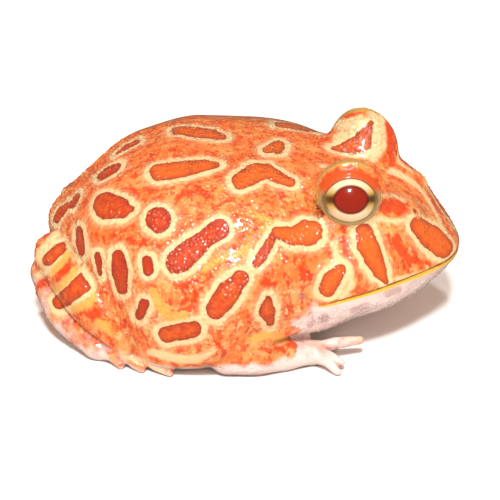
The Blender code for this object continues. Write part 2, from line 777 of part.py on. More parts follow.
def main():
    """Builds every node."""
    clear_scene()
    floor = box("floor", (-80.0, -80.0, -20.0), (80.0, 80.0, 0.0))
    body = build_body()
    combine(body, floor, "DIFFERENCE")
    near = box("near", (-80.0, -80.0, -20.0), (80.0, 0.0, 80.0))
    combine(body, near, "INTERSECT")
    solids, beds = build_limbs(floor)
    behind = neck_side("behind", False)
    before = neck_side("before", True)
    torso = copy_of(body, "torso_solid")
    combine(torso, behind, "INTERSECT")
    combine(body, before, "INTERSECT")
    upper = mouth_side("upper", True)
    lower = mouth_side("lower", False)
    jaw = copy_of(body, "jaw_solid")
    combine(jaw, lower, "INTERSECT")
    combine(body, upper, "INTERSECT")
    eye_bed = eye_ball("eye_bed", GAP)
    opening = lid_opening("opening")
    head = body
    horn = build_head(head, eye_bed, opening)
    cut_all(torso, beds.values())
    cut_all(jaw, [beds["upper_arm"]])
    cut_all(head, [beds["upper_arm"]])
    for half in (torso, head, jaw):
        whole(half)
    eye = eye_ball("eye")
    drop([floor, near, behind, before, upper, lower, eye_bed, opening, *beds.values()])
    finish(torso, "torso", SKIN_ORANGE, SKIN_ROUGHNESS)
    finish(head, "head", SKIN_ORANGE, SKIN_ROUGHNESS)
    finish(jaw, "lower_jaw", SKIN_PALE, SKIN_ROUGHNESS)
    finish(mirrored(eye, "l"), "left_eye", EYE_CREAM, EYE_ROUGHNESS)
    finish(eye, "right_eye", EYE_CREAM, EYE_ROUGHNESS)
    finish(mirrored(horn, "l"), "left_horn", SKIN_RED, SKIN_ROUGHNESS)
    finish(horn, "right_horn", SKIN_RED, SKIN_ROUGHNESS)
    colours = {
        "hand": SKIN_PALE,
        "forearm": SKIN_ORANGE,
        "upper_arm": SKIN_PALE,
        "foot": SKIN_CREAM,
        "shank": SKIN_ORANGE,
        "thigh": SKIN_ORANGE,
    }
    for name, solid in solids.items():
        finish(mirrored(solid, "l"), "left_" + name, colours[name], SKIN_ROUGHNESS)
        finish(solid, "right_" + name, colours[name], SKIN_ROUGHNESS)
    centre_in_plan()


main()
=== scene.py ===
"""Dresses the albino horned frog.

One wet skin stands for every node of flesh, and each eye gets its ball and its lids.
Lengths in the classes are millimetres in the body's own axes: X to the snout, Y to the
frog's left and Z up. They become metres, centred as the frame is, when a mesh is made.
"""

import logging
import math
from dataclasses import dataclass
from enum import Enum, IntEnum

import bmesh
import bpy
import numpy as np
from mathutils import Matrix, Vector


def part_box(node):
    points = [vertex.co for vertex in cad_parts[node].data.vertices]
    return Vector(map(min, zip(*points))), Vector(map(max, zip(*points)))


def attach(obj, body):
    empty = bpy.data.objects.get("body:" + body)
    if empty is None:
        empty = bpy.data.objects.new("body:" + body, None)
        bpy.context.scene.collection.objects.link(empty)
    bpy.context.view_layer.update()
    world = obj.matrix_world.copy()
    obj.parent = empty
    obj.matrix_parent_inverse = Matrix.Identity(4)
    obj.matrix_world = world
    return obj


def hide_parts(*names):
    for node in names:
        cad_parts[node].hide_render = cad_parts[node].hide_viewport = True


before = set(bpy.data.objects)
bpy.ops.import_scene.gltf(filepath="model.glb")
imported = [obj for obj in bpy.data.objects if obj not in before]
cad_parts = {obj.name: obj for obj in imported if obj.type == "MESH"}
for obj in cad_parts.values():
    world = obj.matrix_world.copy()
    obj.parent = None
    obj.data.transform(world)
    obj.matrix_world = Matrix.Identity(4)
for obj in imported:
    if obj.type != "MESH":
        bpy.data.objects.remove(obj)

Array = np.ndarray
Stops = tuple[tuple[float, ...], ...]
Pair = tuple[float, float]
Triple = tuple[float, float, float]
Colour = tuple[float, float, float, float]
METRES = 0.001
FAR = 9.0
MIRROR = np.array((1.0, -1.0, 1.0))
LOG = logging.getLogger("horned_frog")


class Region(Enum):
    """Stretches of skin that markings keep to."""

    TRUNK = 0
    ORBIT = 1
    ARM = 2
    HAND = 3
    LEG = 4
    FOOT = 5


class Part(IntEnum):
    """Parts of the near half, in the order in which they are listed."""

    TRUNK = 0
    ORBIT = 1
    UPPER_ARM = 2
    FOREARM = 3
    HAND = 4
    THIGH = 5
    SHANK = 6
    FOOT = 7


class Column(IntEnum):
    """Columns of the trunk's stations after x."""

    HALF_WIDTH = 1
    CREST = 2
    UNDERSIDE = 3
    WIDEST = 4
    MOUTH = 5
    SQUARENESS = 6


class Paint(Enum):
    """What a marking lays on the skin. The value is the name of its mesh attribute."""

    SPOT = "spot"
    CREAM = "cream"
    RED = "red"
    OLIVE = "olive"
    YELLOW = "yellow"
    BLOTCH = "blotch"


class Twin(Enum):
    """How a marking of the near side comes back on the far side."""

    SAME = "same"
    VARIED = "varied"
    NONE = "none"


def smooth_curve(stops: Array, values: Array, wanted: Array) -> Array:
    """Reads a curve through stops that never overshoots them.

    Each span is a cubic Hermite piece whose end slopes are the harmonic mean of the two
    neighbouring slopes, or zero where these differ in sign.

    Args:
        stops: Rising places of the known values.
        values: Known values at the stops.
        wanted: Places to read.

    Returns:
        The values at the wanted places.
    """
    stops = np.asarray(stops, float)
    values = np.asarray(values, float)
    steps = np.diff(stops)
    slopes = np.diff(values) / steps
    total = slopes[:-1] + slopes[1:]
    inner = np.where(
        slopes[:-1] * slopes[1:] > 0,
        2 * slopes[:-1] * slopes[1:] / np.where(total == 0, 1, total),
        0.0,
    )
    tangents = np.concatenate([slopes[:1], inner, slopes[-1:]])
    place = np.clip(np.searchsorted(stops, wanted) - 1, 0, len(steps) - 1)
    part = (wanted - stops[place]) / steps[place]
    rise = values[place + 1] - values[place]
    start = tangents[place] * steps[place]
    end = tangents[place + 1] * steps[place]
    return (
        values[place]
        + part * start
        + part**2 * (3 * rise - 2 * start - end)
        + part**3 * (start + end - 2 * rise)
    )


def direction(azimuth: float, lift: float) -> Array:
    """Unit vector from the frog towards an azimuth, counted from -Y to +X, and a lift."""
    return np.array(
        (math.sin(azimuth) * math.cos(lift), -math.cos(azimuth) * math.cos(lift), math.sin(lift))
    )


def ease(value: Array, low: float, high: float) -> Array:
    """Smooth step from 0 at low to 1 at high: 3t^2 - 2t^3."""
    share = np.clip((np.asarray(value, float) - low) / (high - low), 0.0, 1.0)
    return share * share * (3 - 2 * share)


def unit(vectors: Array) -> Array:
    """Vectors brought to length one."""
    return vectors / np.maximum(np.linalg.norm(vectors, axis=-1, keepdims=True), 1e-9)


def gradient(shape: "Shape", points: Array, step: float = 0.02) -> Array:
    """Slope of a shape's level by central differences.

    Args:
        shape: Anything with a level method.
        points: Places of shape (n, 3).
        step: Half of the difference's length.

    Returns:
        Slopes of shape (n, 3).
    """
    slopes = []
    for axis in np.eye(3):
        slopes.append((shape.level(points + axis * step) - shape.level(points - axis * step)) / (2 * step))
    return np.stack(slopes, axis=1)


def blend(fields: list[tuple[Array, Array]], width: float) -> tuple[Array, Array]:
    """Smooth least distance of several forms: -w log(sum exp(-d / w)).

    Args:
        fields: Distances and outward directions of each form.
        width: Width w of the rounded junction in mm.

    Returns:
        The blended distance, and the forms' directions weighted by exp(-d / w).
    """
    far = np.stack([field[0] for field in fields])
    out = np.stack([field[1] for field in fields])
    least = far.min(axis=0)
    weight = np.exp(-(far - least) / width)
    total = weight.sum(axis=0)
    return least - width * np.log(total), (weight[..., None] * out).sum(axis=0) / total[:, None]


class Shape:
    """A closed form whose level is negative inside and positive outside."""

    def level(self, points: Array) -> Array:
        """Value that is zero on the surface."""
        raise NotImplementedError

    def surface(self) -> tuple[Array, Array, Array]:
        """Rings of shape (rings, sides, 3) with the pole before and after them."""
        raise NotImplementedError

    def reach(self, points: Array) -> Array:
        """Marks the points that are near enough to matter."""
        return np.ones(len(points), bool)

    def sense(self, points: Array) -> tuple[Array, Array]:
        """Signed distance, the level over its slope's length, and the outward direction.

        Args:
            points: Places of shape (n, 3).

        Returns:
            The distances and the directions, FAR and zero out of reach.
        """
        near = self.reach(points)
        far = np.full(len(points), FAR)
        out = np.zeros_like(points)
        slope = gradient(self, points[near])
        length = np.maximum(np.linalg.norm(slope, axis=1), 1e-3)
        far[near] = self.level(points[near]) / length
        out[near] = slope / length[:, None]
        return far, out


@dataclass(frozen=True)
class Trunk(Shape):
    """Trunk, head and jaw as rounded sections along X."""

    # x, half width, crest, underside, widest line, mouth line and squareness below
    stations: Stops = (
        (-31.2, 10.0, 18.4, 5.0, 14.2, 12.6, 2.3),
        (-25.5, 14.2, 21.6, 1.2, 12.9, 12.3, 2.3),
        (-18.6, 20.4, 25.6, -1.0, 11.3, 11.9, 2.3),
        (-9.8, 26.2, 28.0, -1.2, 9.7, 11.5, 4.2),
        (-2.0, 26.8, 28.1, -1.2, 9.3, 11.1, 3.1),
        (4.6, 24.0, 27.6, -1.0, 11.8, 10.9, 1.85),
        (12.0, 19.6, 26.5, 0.8, 11.0, 10.9, 2.1),
        (17.6, 17.6, 25.1, 4.4, 11.3, 12.0, 2.3),
        (23.5, 15.0, 22.9, 5.8, 12.4, 12.9, 2.3),
        (27.9, 12.8, 20.2, 6.9, 13.0, 13.0, 2.3),
        (31.7, 11.5, 17.9, 7.9, 13.2, 12.5, 2.3),
    )
    rump_rounding: float = 11.0
    snout_rounding: float = 11.5
    upper_power: float = 2.25
    end_power: float = 2.2
    end_limit: float = 0.9999
    mouth_rise: float = 0.15
    side_crowding: float = 0.33
    rings: int = 150
    sides: int = 150

    @property
    def ends(self) -> tuple[float, float]:
        """Places of the rump's and the snout's end."""
        return self.stations[0][0], self.stations[-1][0]

    def column(self, x: Array, index: Column) -> Array:
        """One column of the stations at the places x."""
        table = np.array(self.stations)
        low, high = self.ends
        return smooth_curve(table[:, 0], table[:, index], np.clip(x, low, high))

    def mouth(self, x: Array) -> Array:
        """Height of the slit of the mouth."""
        return self.column(x, Column.MOUTH) + self.mouth_rise

    def rounding(self, x: Array) -> Array:
        """Share of the section left near the blunt ends: the roots of 1 - t^2.2 of both.

        Args:
            x: Places along the body.

        Returns:
            The shares.
        """
        low, high = self.ends
        rump = np.clip((low + self.rump_rounding - x) / self.rump_rounding, 0, self.end_limit)
        snout = np.clip((x - high + self.snout_rounding) / self.snout_rounding, 0, self.end_limit)
        return np.sqrt(1 - rump**self.end_power) * np.sqrt(1 - snout**self.end_power)

    def level(self, points: Array) -> Array:
        """Superellipse (|y/w|^p + |z/h|^p)^(1/p) - 1 of the section at x.

        Args:
            points: Places of shape (n, 3).

        Returns:
            The levels.
        """
        x = points[:, 0]
        share = self.rounding(x)
        widest = self.column(x, Column.WIDEST)
        rise = points[:, 2] - widest
        above = self.column(x, Column.CREST) - widest
        below = widest - self.column(x, Column.UNDERSIDE)
        tall = np.where(rise >= 0, above, below) * share
        power = np.where(rise >= 0, self.upper_power, self.column(x, Column.SQUARENESS))
        wide = self.column(x, Column.HALF_WIDTH) * share
        return ((np.abs(points[:, 1]) / wide) ** power + (np.abs(rise) / tall) ** power) ** (1 / power) - 1

    def surface(self) -> tuple[Array, Array, Array]:
        """Rings of superellipses at cosine-spaced places, with the two poles.

        Returns:
            Rings of shape (rings, sides, 3), then the poles before and after them.
        """
        low, high = self.ends
        turn = np.linspace(0.0, math.pi, self.rings + 2)[1:-1]
        x = (low + high) / 2 - np.cos(turn) * (high - low) / 2
        even = np.linspace(0.0, 2 * math.pi, self.sides, endpoint=False)
        angle = even - self.side_crowding * np.sin(2 * even)
        share = self.rounding(x)[:, None]
        widest = self.column(x, Column.WIDEST)[:, None]
        width = self.column(x, Column.HALF_WIDTH)[:, None] * share
        above = (self.column(x, Column.CREST)[:, None] - widest) * share
        below = (widest - self.column(x, Column.UNDERSIDE)[:, None]) * share
        cos = np.cos(angle)[None, :]
        sin = np.sin(angle)[None, :]
        power = np.where(sin >= 0, self.upper_power, self.column(x, Column.SQUARENESS)[:, None])
        y = width * np.sign(cos) * np.abs(cos) ** (2 / power)
        z = widest + np.where(sin >= 0, above, below) * np.sign(sin) * np.abs(sin) ** (2 / power)
        rings = np.stack([np.broadcast_to(x[:, None], y.shape), y, z], axis=-1)
        return rings, np.array((low, 0.0, widest[0, 0])), np.array((high, 0.0, widest[-1, 0]))


@dataclass(frozen=True)
class Tube(Shape):
    """A tapered limb or digit through stops of x, y, z, half width and half height."""

    stops: Stops
    sides: int = 40
    rings: int = 40
    samples: int = 40
    heading_share: float = 0.01
    reach_margin: float = 3.0

    def read(self, columns: tuple[int, ...], along: Array) -> Array:
        """Columns of the stops at lengths along the path."""
        stops = np.array(self.stops, float)
        return np.stack([smooth_curve(self.marks(), stops[:, k], along) for k in columns], axis=1)

    def spine(self, along: Array) -> tuple[Array, Array, Array]:
        """Centre, heading and half sizes at lengths along the path.

        Args:
            along: Lengths in mm, which may run past both ends.

        Returns:
            Centres, unit headings and the pairs of half sizes.
        """
        total = self.marks()[-1]
        inside = np.clip(along, 0.0, total)
        tiny = self.heading_share * total
        centre = self.read((0, 1, 2), inside)
        ahead = self.read((0, 1, 2), np.minimum(inside + tiny, total))
        behind = self.read((0, 1, 2), np.maximum(inside - tiny, 0.0))
        heading = unit(ahead - behind)
        return centre + heading * (along - inside)[:, None], heading, self.read((3, 4), inside)

    def marks(self) -> Array:
        """Length along the path at each stop."""
        steps = np.linalg.norm(np.diff(np.array(self.stops)[:, :3], axis=0), axis=1)
        return np.concatenate([[0.0], np.cumsum(steps)])

    def surface(self) -> tuple[Array, Array, Array]:
        """Elliptic rings with round ends, at cosine-spaced lengths.

        Returns:
            Rings of shape (rings, sides, 3), then the poles before and after them.
        """
        total = self.marks()[-1]
        front = self.stops[0][3]
        back = self.stops[-1][3]
        turn = np.linspace(0.0, math.pi, self.rings + 2)[1:-1]
        along = -front + (1 - np.cos(turn)) / 2 * (total + front + back)
        centre, heading, sizes = self.spine(along)
        past = np.maximum(-along / front, 0) + np.maximum((along - total) / back, 0)
        share = np.sqrt(np.clip(1 - past**2, 0, 1))
        side = unit(np.cross((0.0, 0.0, 1.0), heading))
        up = np.cross(heading, side)
        angle = np.linspace(0.0, 2 * math.pi, self.sides, endpoint=False)
        rings = (
            centre[:, None, :]
            + side[:, None, :] * (np.cos(angle)[None, :] * (sizes[:, 0] * share)[:, None])[..., None]
            + up[:, None, :] * (np.sin(angle)[None, :] * (sizes[:, 1] * share)[:, None])[..., None]
        )
        ends = np.array(self.stops)[[0, -1], :3]
        return rings, ends[0] - heading[0] * front, ends[1] + heading[-1] * back

    def reach(self, points: Array) -> Array:
        """Points inside the path's box grown by its widest half size and a margin.

        Args:
            points: Places of shape (n, 3).

        Returns:
            True where a point is inside.
        """
        stops = np.array(self.stops, float)
        wide = stops[:, 3:5].max() + self.reach_margin
        low = stops[:, :3].min(axis=0) - wide
        high = stops[:, :3].max(axis=0) + wide
        return ((points > low) & (points < high)).all(axis=1)

    def level(self, points: Array) -> Array:
        """Length of (u/wide, v/tall, past/end) in the frame of the nearest place, minus 1.

        Args:
            points: Places of shape (n, 3).

        Returns:
            The levels.
        """
        total = self.marks()[-1]
        lengths = np.linspace(0.0, total, self.samples)
        centre, heading, _ = self.spine(lengths)
        gap = points[:, None, :] - centre[None, :, :]
        place = (gap**2).sum(axis=2).argmin(axis=1)
        onward = (gap[np.arange(len(points)), place] * heading[place]).sum(axis=1)
        along = lengths[place] + onward
        centre, heading, sizes = self.spine(np.clip(along, 0.0, total))
        side = unit(np.cross((0.0, 0.0, 1.0), heading))
        up = np.cross(heading, side)
        out = points - centre
        past = np.maximum(-along / self.stops[0][3], 0)
        past = past + np.maximum((along - total) / self.stops[-1][3], 0)
        u = (out * side).sum(axis=1) / sizes[:, 0]
        v = (out * up).sum(axis=1) / sizes[:, 1]
        return np.sqrt(u**2 + v**2 + past**2) - 1


@dataclass(frozen=True)
class Orbit(Shape):
    """The raised orbit under the lid as ovals that lean towards the horn's tip."""

    foot: Triple = (16.4, -7.6, 16.2)
    tip: Triple = (16.3, -10.3, 30.2)
    radii: Pair = (5.2, 5.6)
    eye_height: float = 24.3
    flare: float = 0.2
    flare_power: float = 1.5
    top_power: float = 2.1
    top_limit: float = 0.9995
    foot_drop: float = 0.05
    reach_centre: Pair = (16.2, -9.5)
    reach_radius: float = 9.0
    rings: int = 60
    sides: int = 70

    def ovals(self, height: Array) -> tuple[Array, Array, Array, Array]:
        """Ovals at a height: radii * sqrt(1 - over^2.1) * (1 + flare (1 - lean)^1.5).

        Args:
            height: Heights over the foot.

        Returns:
            The centres' x and y, and the radii along x and y.
        """
        lean = np.clip((height - self.foot[2]) / (self.tip[2] - self.foot[2]), 0, 1)
        over = np.clip((height - self.eye_height) / (self.tip[2] - self.eye_height), 0, self.top_limit)
        grow = np.sqrt(1 - over**self.top_power) * (1 + self.flare * (1 - lean) ** self.flare_power)
        x = self.foot[0] + (self.tip[0] - self.foot[0]) * lean
        y = self.foot[1] + (self.tip[1] - self.foot[1]) * lean
        return x, y, self.radii[0] * grow, self.radii[1] * grow

    def surface(self) -> tuple[Array, Array, Array]:
        """Rings from the foot to just under the tip.

        Returns:
            Rings of shape (rings, sides, 3), then the poles before and after them.
        """
        share = np.sin(np.linspace(0.0, math.pi / 2, self.rings + 1))[:-1]
        height = self.foot[2] + share * (self.tip[2] - self.foot[2])
        x, y, long, wide = self.ovals(height)
        angle = np.linspace(0.0, 2 * math.pi, self.sides, endpoint=False)
        rings = np.stack(
            [
                x[:, None] + long[:, None] * np.cos(angle)[None, :],
                y[:, None] + wide[:, None] * np.sin(angle)[None, :],
                np.broadcast_to(height[:, None], (len(height), len(angle))),
            ],
            axis=-1,
        )
        return rings, np.array(self.foot) - (0, 0, self.foot_drop), np.array(self.tip)

    def reach(self, points: Array) -> Array:
        """Points over the foot and near the orbit's middle."""
        away = np.hypot(points[:, 0] - self.reach_centre[0], points[:, 1] - self.reach_centre[1])
        return (points[:, 2] > self.foot[2]) & (away < self.reach_radius)

    def level(self, points: Array) -> Array:
        """Oval length of the place in its section, minus 1."""
        x, y, long, wide = self.ovals(points[:, 2])
        return np.hypot((points[:, 0] - x) / long, (points[:, 1] - y) / wide) - 1


@dataclass(frozen=True)
class Limbs:
    """Paths of the near arm and leg. The far ones mirror them."""

    upper_arm: Stops = (
        (9.0, -16.4, 8.8, 3.3, 3.4),
        (4.6, -19.2, 7.2, 3.3, 3.4),
        (0.2, -21.3, 4.4, 2.8, 2.9),
    )
    forearm: Stops = (
        (-0.3, -21.5, 2.9, 2.9, 2.9),
        (3.6, -20.9, 2.8, 2.9, 2.9),
        (7.6, -18.8, 2.3, 2.4, 2.3),
    )
    palm: Stops = (
        (7.2, -18.9, 2.2, 2.2, 2.2),
        (9.6, -17.6, 1.9, 2.5, 1.9),
        (11.8, -16.5, 1.7, 2.1, 1.7),
    )
    finger_tips: Stops = (
        (14.6, -12.6, 0.7),
        (18.5, -14.3, 3.0),
        (16.2, -18.9, 1.5),
        (15.9, -20.2, 0.7),
    )
    thigh: Stops = (
        (-25.2, -8.0, 12.0, 4.0, 4.6),
        (-20.6, -14.7, 10.4, 4.0, 5.4),
        (-15.4, -19.7, 6.2, 3.5, 4.0),
    )
    shank: Stops = (
        (-15.6, -20.6, 4.2, 2.6, 3.0),
        (-21.6, -17.2, 8.4, 3.5, 4.1),
        (-28.1, -9.4, 11.6, 3.6, 3.8),
    )
    sole: Stops = (
        (-30.1, -8.6, 8.2, 2.5, 3.1),
        (-26.4, -14.4, 4.8, 2.6, 3.0),
        (-20.4, -19.0, 2.0, 2.6, 2.0),
    )
    toe_tips: Stops = (
        (-15.6, -17.6, 0.5),
        (-12.0, -21.0, 0.5),
        (-8.6, -24.0, 0.7),
        (-12.9, -23.3, 0.6),
        (-16.2, -22.6, 0.6),
    )
    finger_sizes: Pair = (1.15, 0.62)
    toe_sizes: Pair = (1.3, 0.6)
    knuckle_shift: Triple = (-0.6, -0.3, -0.1)
    ball_shift: Triple = (0.3, -0.4, -0.3)
    bow: float = 0.5
    bow_place: float = 0.55

    def digit(self, root: Array, tip: Array, sizes: Pair) -> Tube:
        """A digit that bows up slightly past its middle.

        Args:
            root: Where it leaves the hand or foot.
            tip: Its end.
            sizes: Half sizes at the root and at the tip.

        Returns:
            The digit.
        """
        middle = root + (tip - root) * self.bow_place + (0.0, 0.0, self.bow)
        half = sum(sizes) / 2
        return Tube(
            ((*root, sizes[0], sizes[0]), (*middle, half, half), (*tip, sizes[1], sizes[1])),
            sides=24,
            rings=30,
            samples=16,
        )

    def parts(self) -> list[tuple[Region, list[Tube]]]:
        """The tubes of each part of the near limbs with the region of their skin.

        Returns:
            Regions with the tubes of their part, in the order of Part from UPPER_ARM on.
        """
        knuckles = np.array(self.palm[-1][:3]) + self.knuckle_shift
        ball = np.array(self.sole[-1][:3]) + self.ball_shift
        fingers = [self.digit(knuckles, np.array(tip), self.finger_sizes) for tip in self.finger_tips]
        toes = [self.digit(ball, np.array(tip), self.toe_sizes) for tip in self.toe_tips]
        return [
            (Region.ARM, [Tube(self.upper_arm)]),
            (Region.ARM, [Tube(self.forearm)]),
            (Region.HAND, [Tube(self.palm), *fingers]),
            (Region.TRUNK, [Tube(self.thigh)]),
            (Region.LEG, [Tube(self.shank)]),
            (Region.FOOT, [Tube(self.sole), *toes]),
        ]


@dataclass(frozen=True)
class EyeSeat:
    """Place and frame of the near eye and of the opening between its lids."""

    centre: Triple = (16.1, -9.9, 24.3)
    radius: float = 4.5
    azimuth: float = math.radians(10.0)
    lift: float = math.radians(20.0)
    opening: Pair = (4.15, 3.5)

    def axes(self) -> tuple[Array, Array, Array]:
        """Direction of sight, direction to the snout side and the direction up.

        Returns:
            Unit vectors.
        """
        axis = direction(self.azimuth, self.lift)
        side = unit(np.cross((0.0, 0.0, 1.0), axis))
        return axis, side, np.cross(axis, side)

    def rim_angle(self, turn: Array) -> Array:
        """Angle from the axis to the opening's edge: arcsin of the ellipse's radius over the ball's."""
        long, high = self.opening
        return np.arcsin(1 / np.hypot(np.cos(turn) / long, np.sin(turn) / high) / self.radius)

    def place(self, turn: Array, opened: Array, radius: Array) -> Array:
        """Points at a turn round the axis, a share of the rim angle and a radius.

        Args:
            turn: Turns from the snout side upwards.
            opened: Shares of the rim angle.
            radius: Distances from the ball's centre.

        Returns:
            Points with one more axis than turn.
        """
        axis, side, up = self.axes()
        angle = (opened * self.rim_angle(turn))[..., None]
        out = side * np.cos(turn)[..., None] + up * np.sin(turn)[..., None]
        return np.array(self.centre) + (axis * np.cos(angle) + out * np.sin(angle)) * radius[..., None]

    def seen(self, points: Array) -> tuple[Array, Array, Array]:
        """Radius, turn and share of the rim angle of points.

        Args:
            points: Places of shape (n, 3).

        Returns:
            Distances from the centre, turns and shares.
        """
        axis, side, up = self.axes()
        gap = points - np.array(self.centre)
        radius = np.linalg.norm(gap, axis=1)
        turn = np.arctan2(gap @ up, gap @ side)
        angle = np.arccos(np.clip((gap @ axis) / np.maximum(radius, 1e-6), -1, 1))
        return radius, turn, angle / self.rim_angle(turn)


@dataclass(frozen=True)
class PhotoView:
    """The camera of the photograph, 500 pixels wide and high."""

    azimuth: float = math.radians(8.0)
    elevation: float = math.radians(26.0)
    distance: float = 400.0
    target: Triple = (0.0, 0.0, 9.8)
    scale: float = 6.5
    width: int = 500
    sensor: float = 36.0

    def axes(self) -> tuple[Array, Array, Array]:
        """Directions to the camera, to the right and up in the picture.

        Returns:
            Unit vectors.
        """
        back = direction(self.azimuth, self.elevation)
        right = np.array((math.cos(self.azimuth), math.sin(self.azimuth), 0.0))
        return back, right, np.cross(back, right)

    def pixels(self, points: Array) -> Array:
        """Places in the picture, from perspective about the target.

        Args:
            points: Places of shape (n, 3).

        Returns:
            Pixel places of shape (n, 2).
        """
        back, right, up = self.axes()
        gap = points - np.array(self.target)
        grow = self.scale * self.distance / (self.distance - gap @ back)
        half = self.width / 2
        return np.stack([half + (gap @ right) * grow, half - (gap @ up) * grow], axis=1)

    def slope(self, normals: Array, course: Array) -> Array:
        """Pixels per mm along the surface in the picture's direction course.

        Args:
            normals: Normals of the surface.
            course: Unit directions in the picture, shape (n, 2).

        Returns:
            Slopes of shape (n,).
        """
        _, right, up = self.axes()
        lead = (course[:, :1] * right - course[:, 1:] * up) * self.scale
        flat = lead - normals * (lead * normals).sum(axis=1, keepdims=True)
        return np.linalg.norm(flat, axis=1)


@dataclass(frozen=True)
class Mark:
    """A marking as a chain of discs in the photograph: x, y and radius in pixels.

    The outer limit is the least distance in mm from the body's middle plane.
    """

    name: str
    paint: Paint
    stops: Stops
    tone: float = 0.5
    region: tuple[Region, ...] = (Region.TRUNK,)
    twin: Twin = Twin.VARIED
    outer: float = -FAR


@dataclass(frozen=True)
class Fold:
    """A valley of loose skin: stops in pixels, then depth and half width in mm."""

    name: str
    stops: Stops
    depth: float
    half_width: float


SPOT, CREAM, RED, OLIVE, YELLOW, BLOTCH = Paint
HEAD = (Region.TRUNK, Region.ORBIT)
LEG = (Region.LEG, Region.FOOT)
ARM = (Region.ARM, Region.HAND)

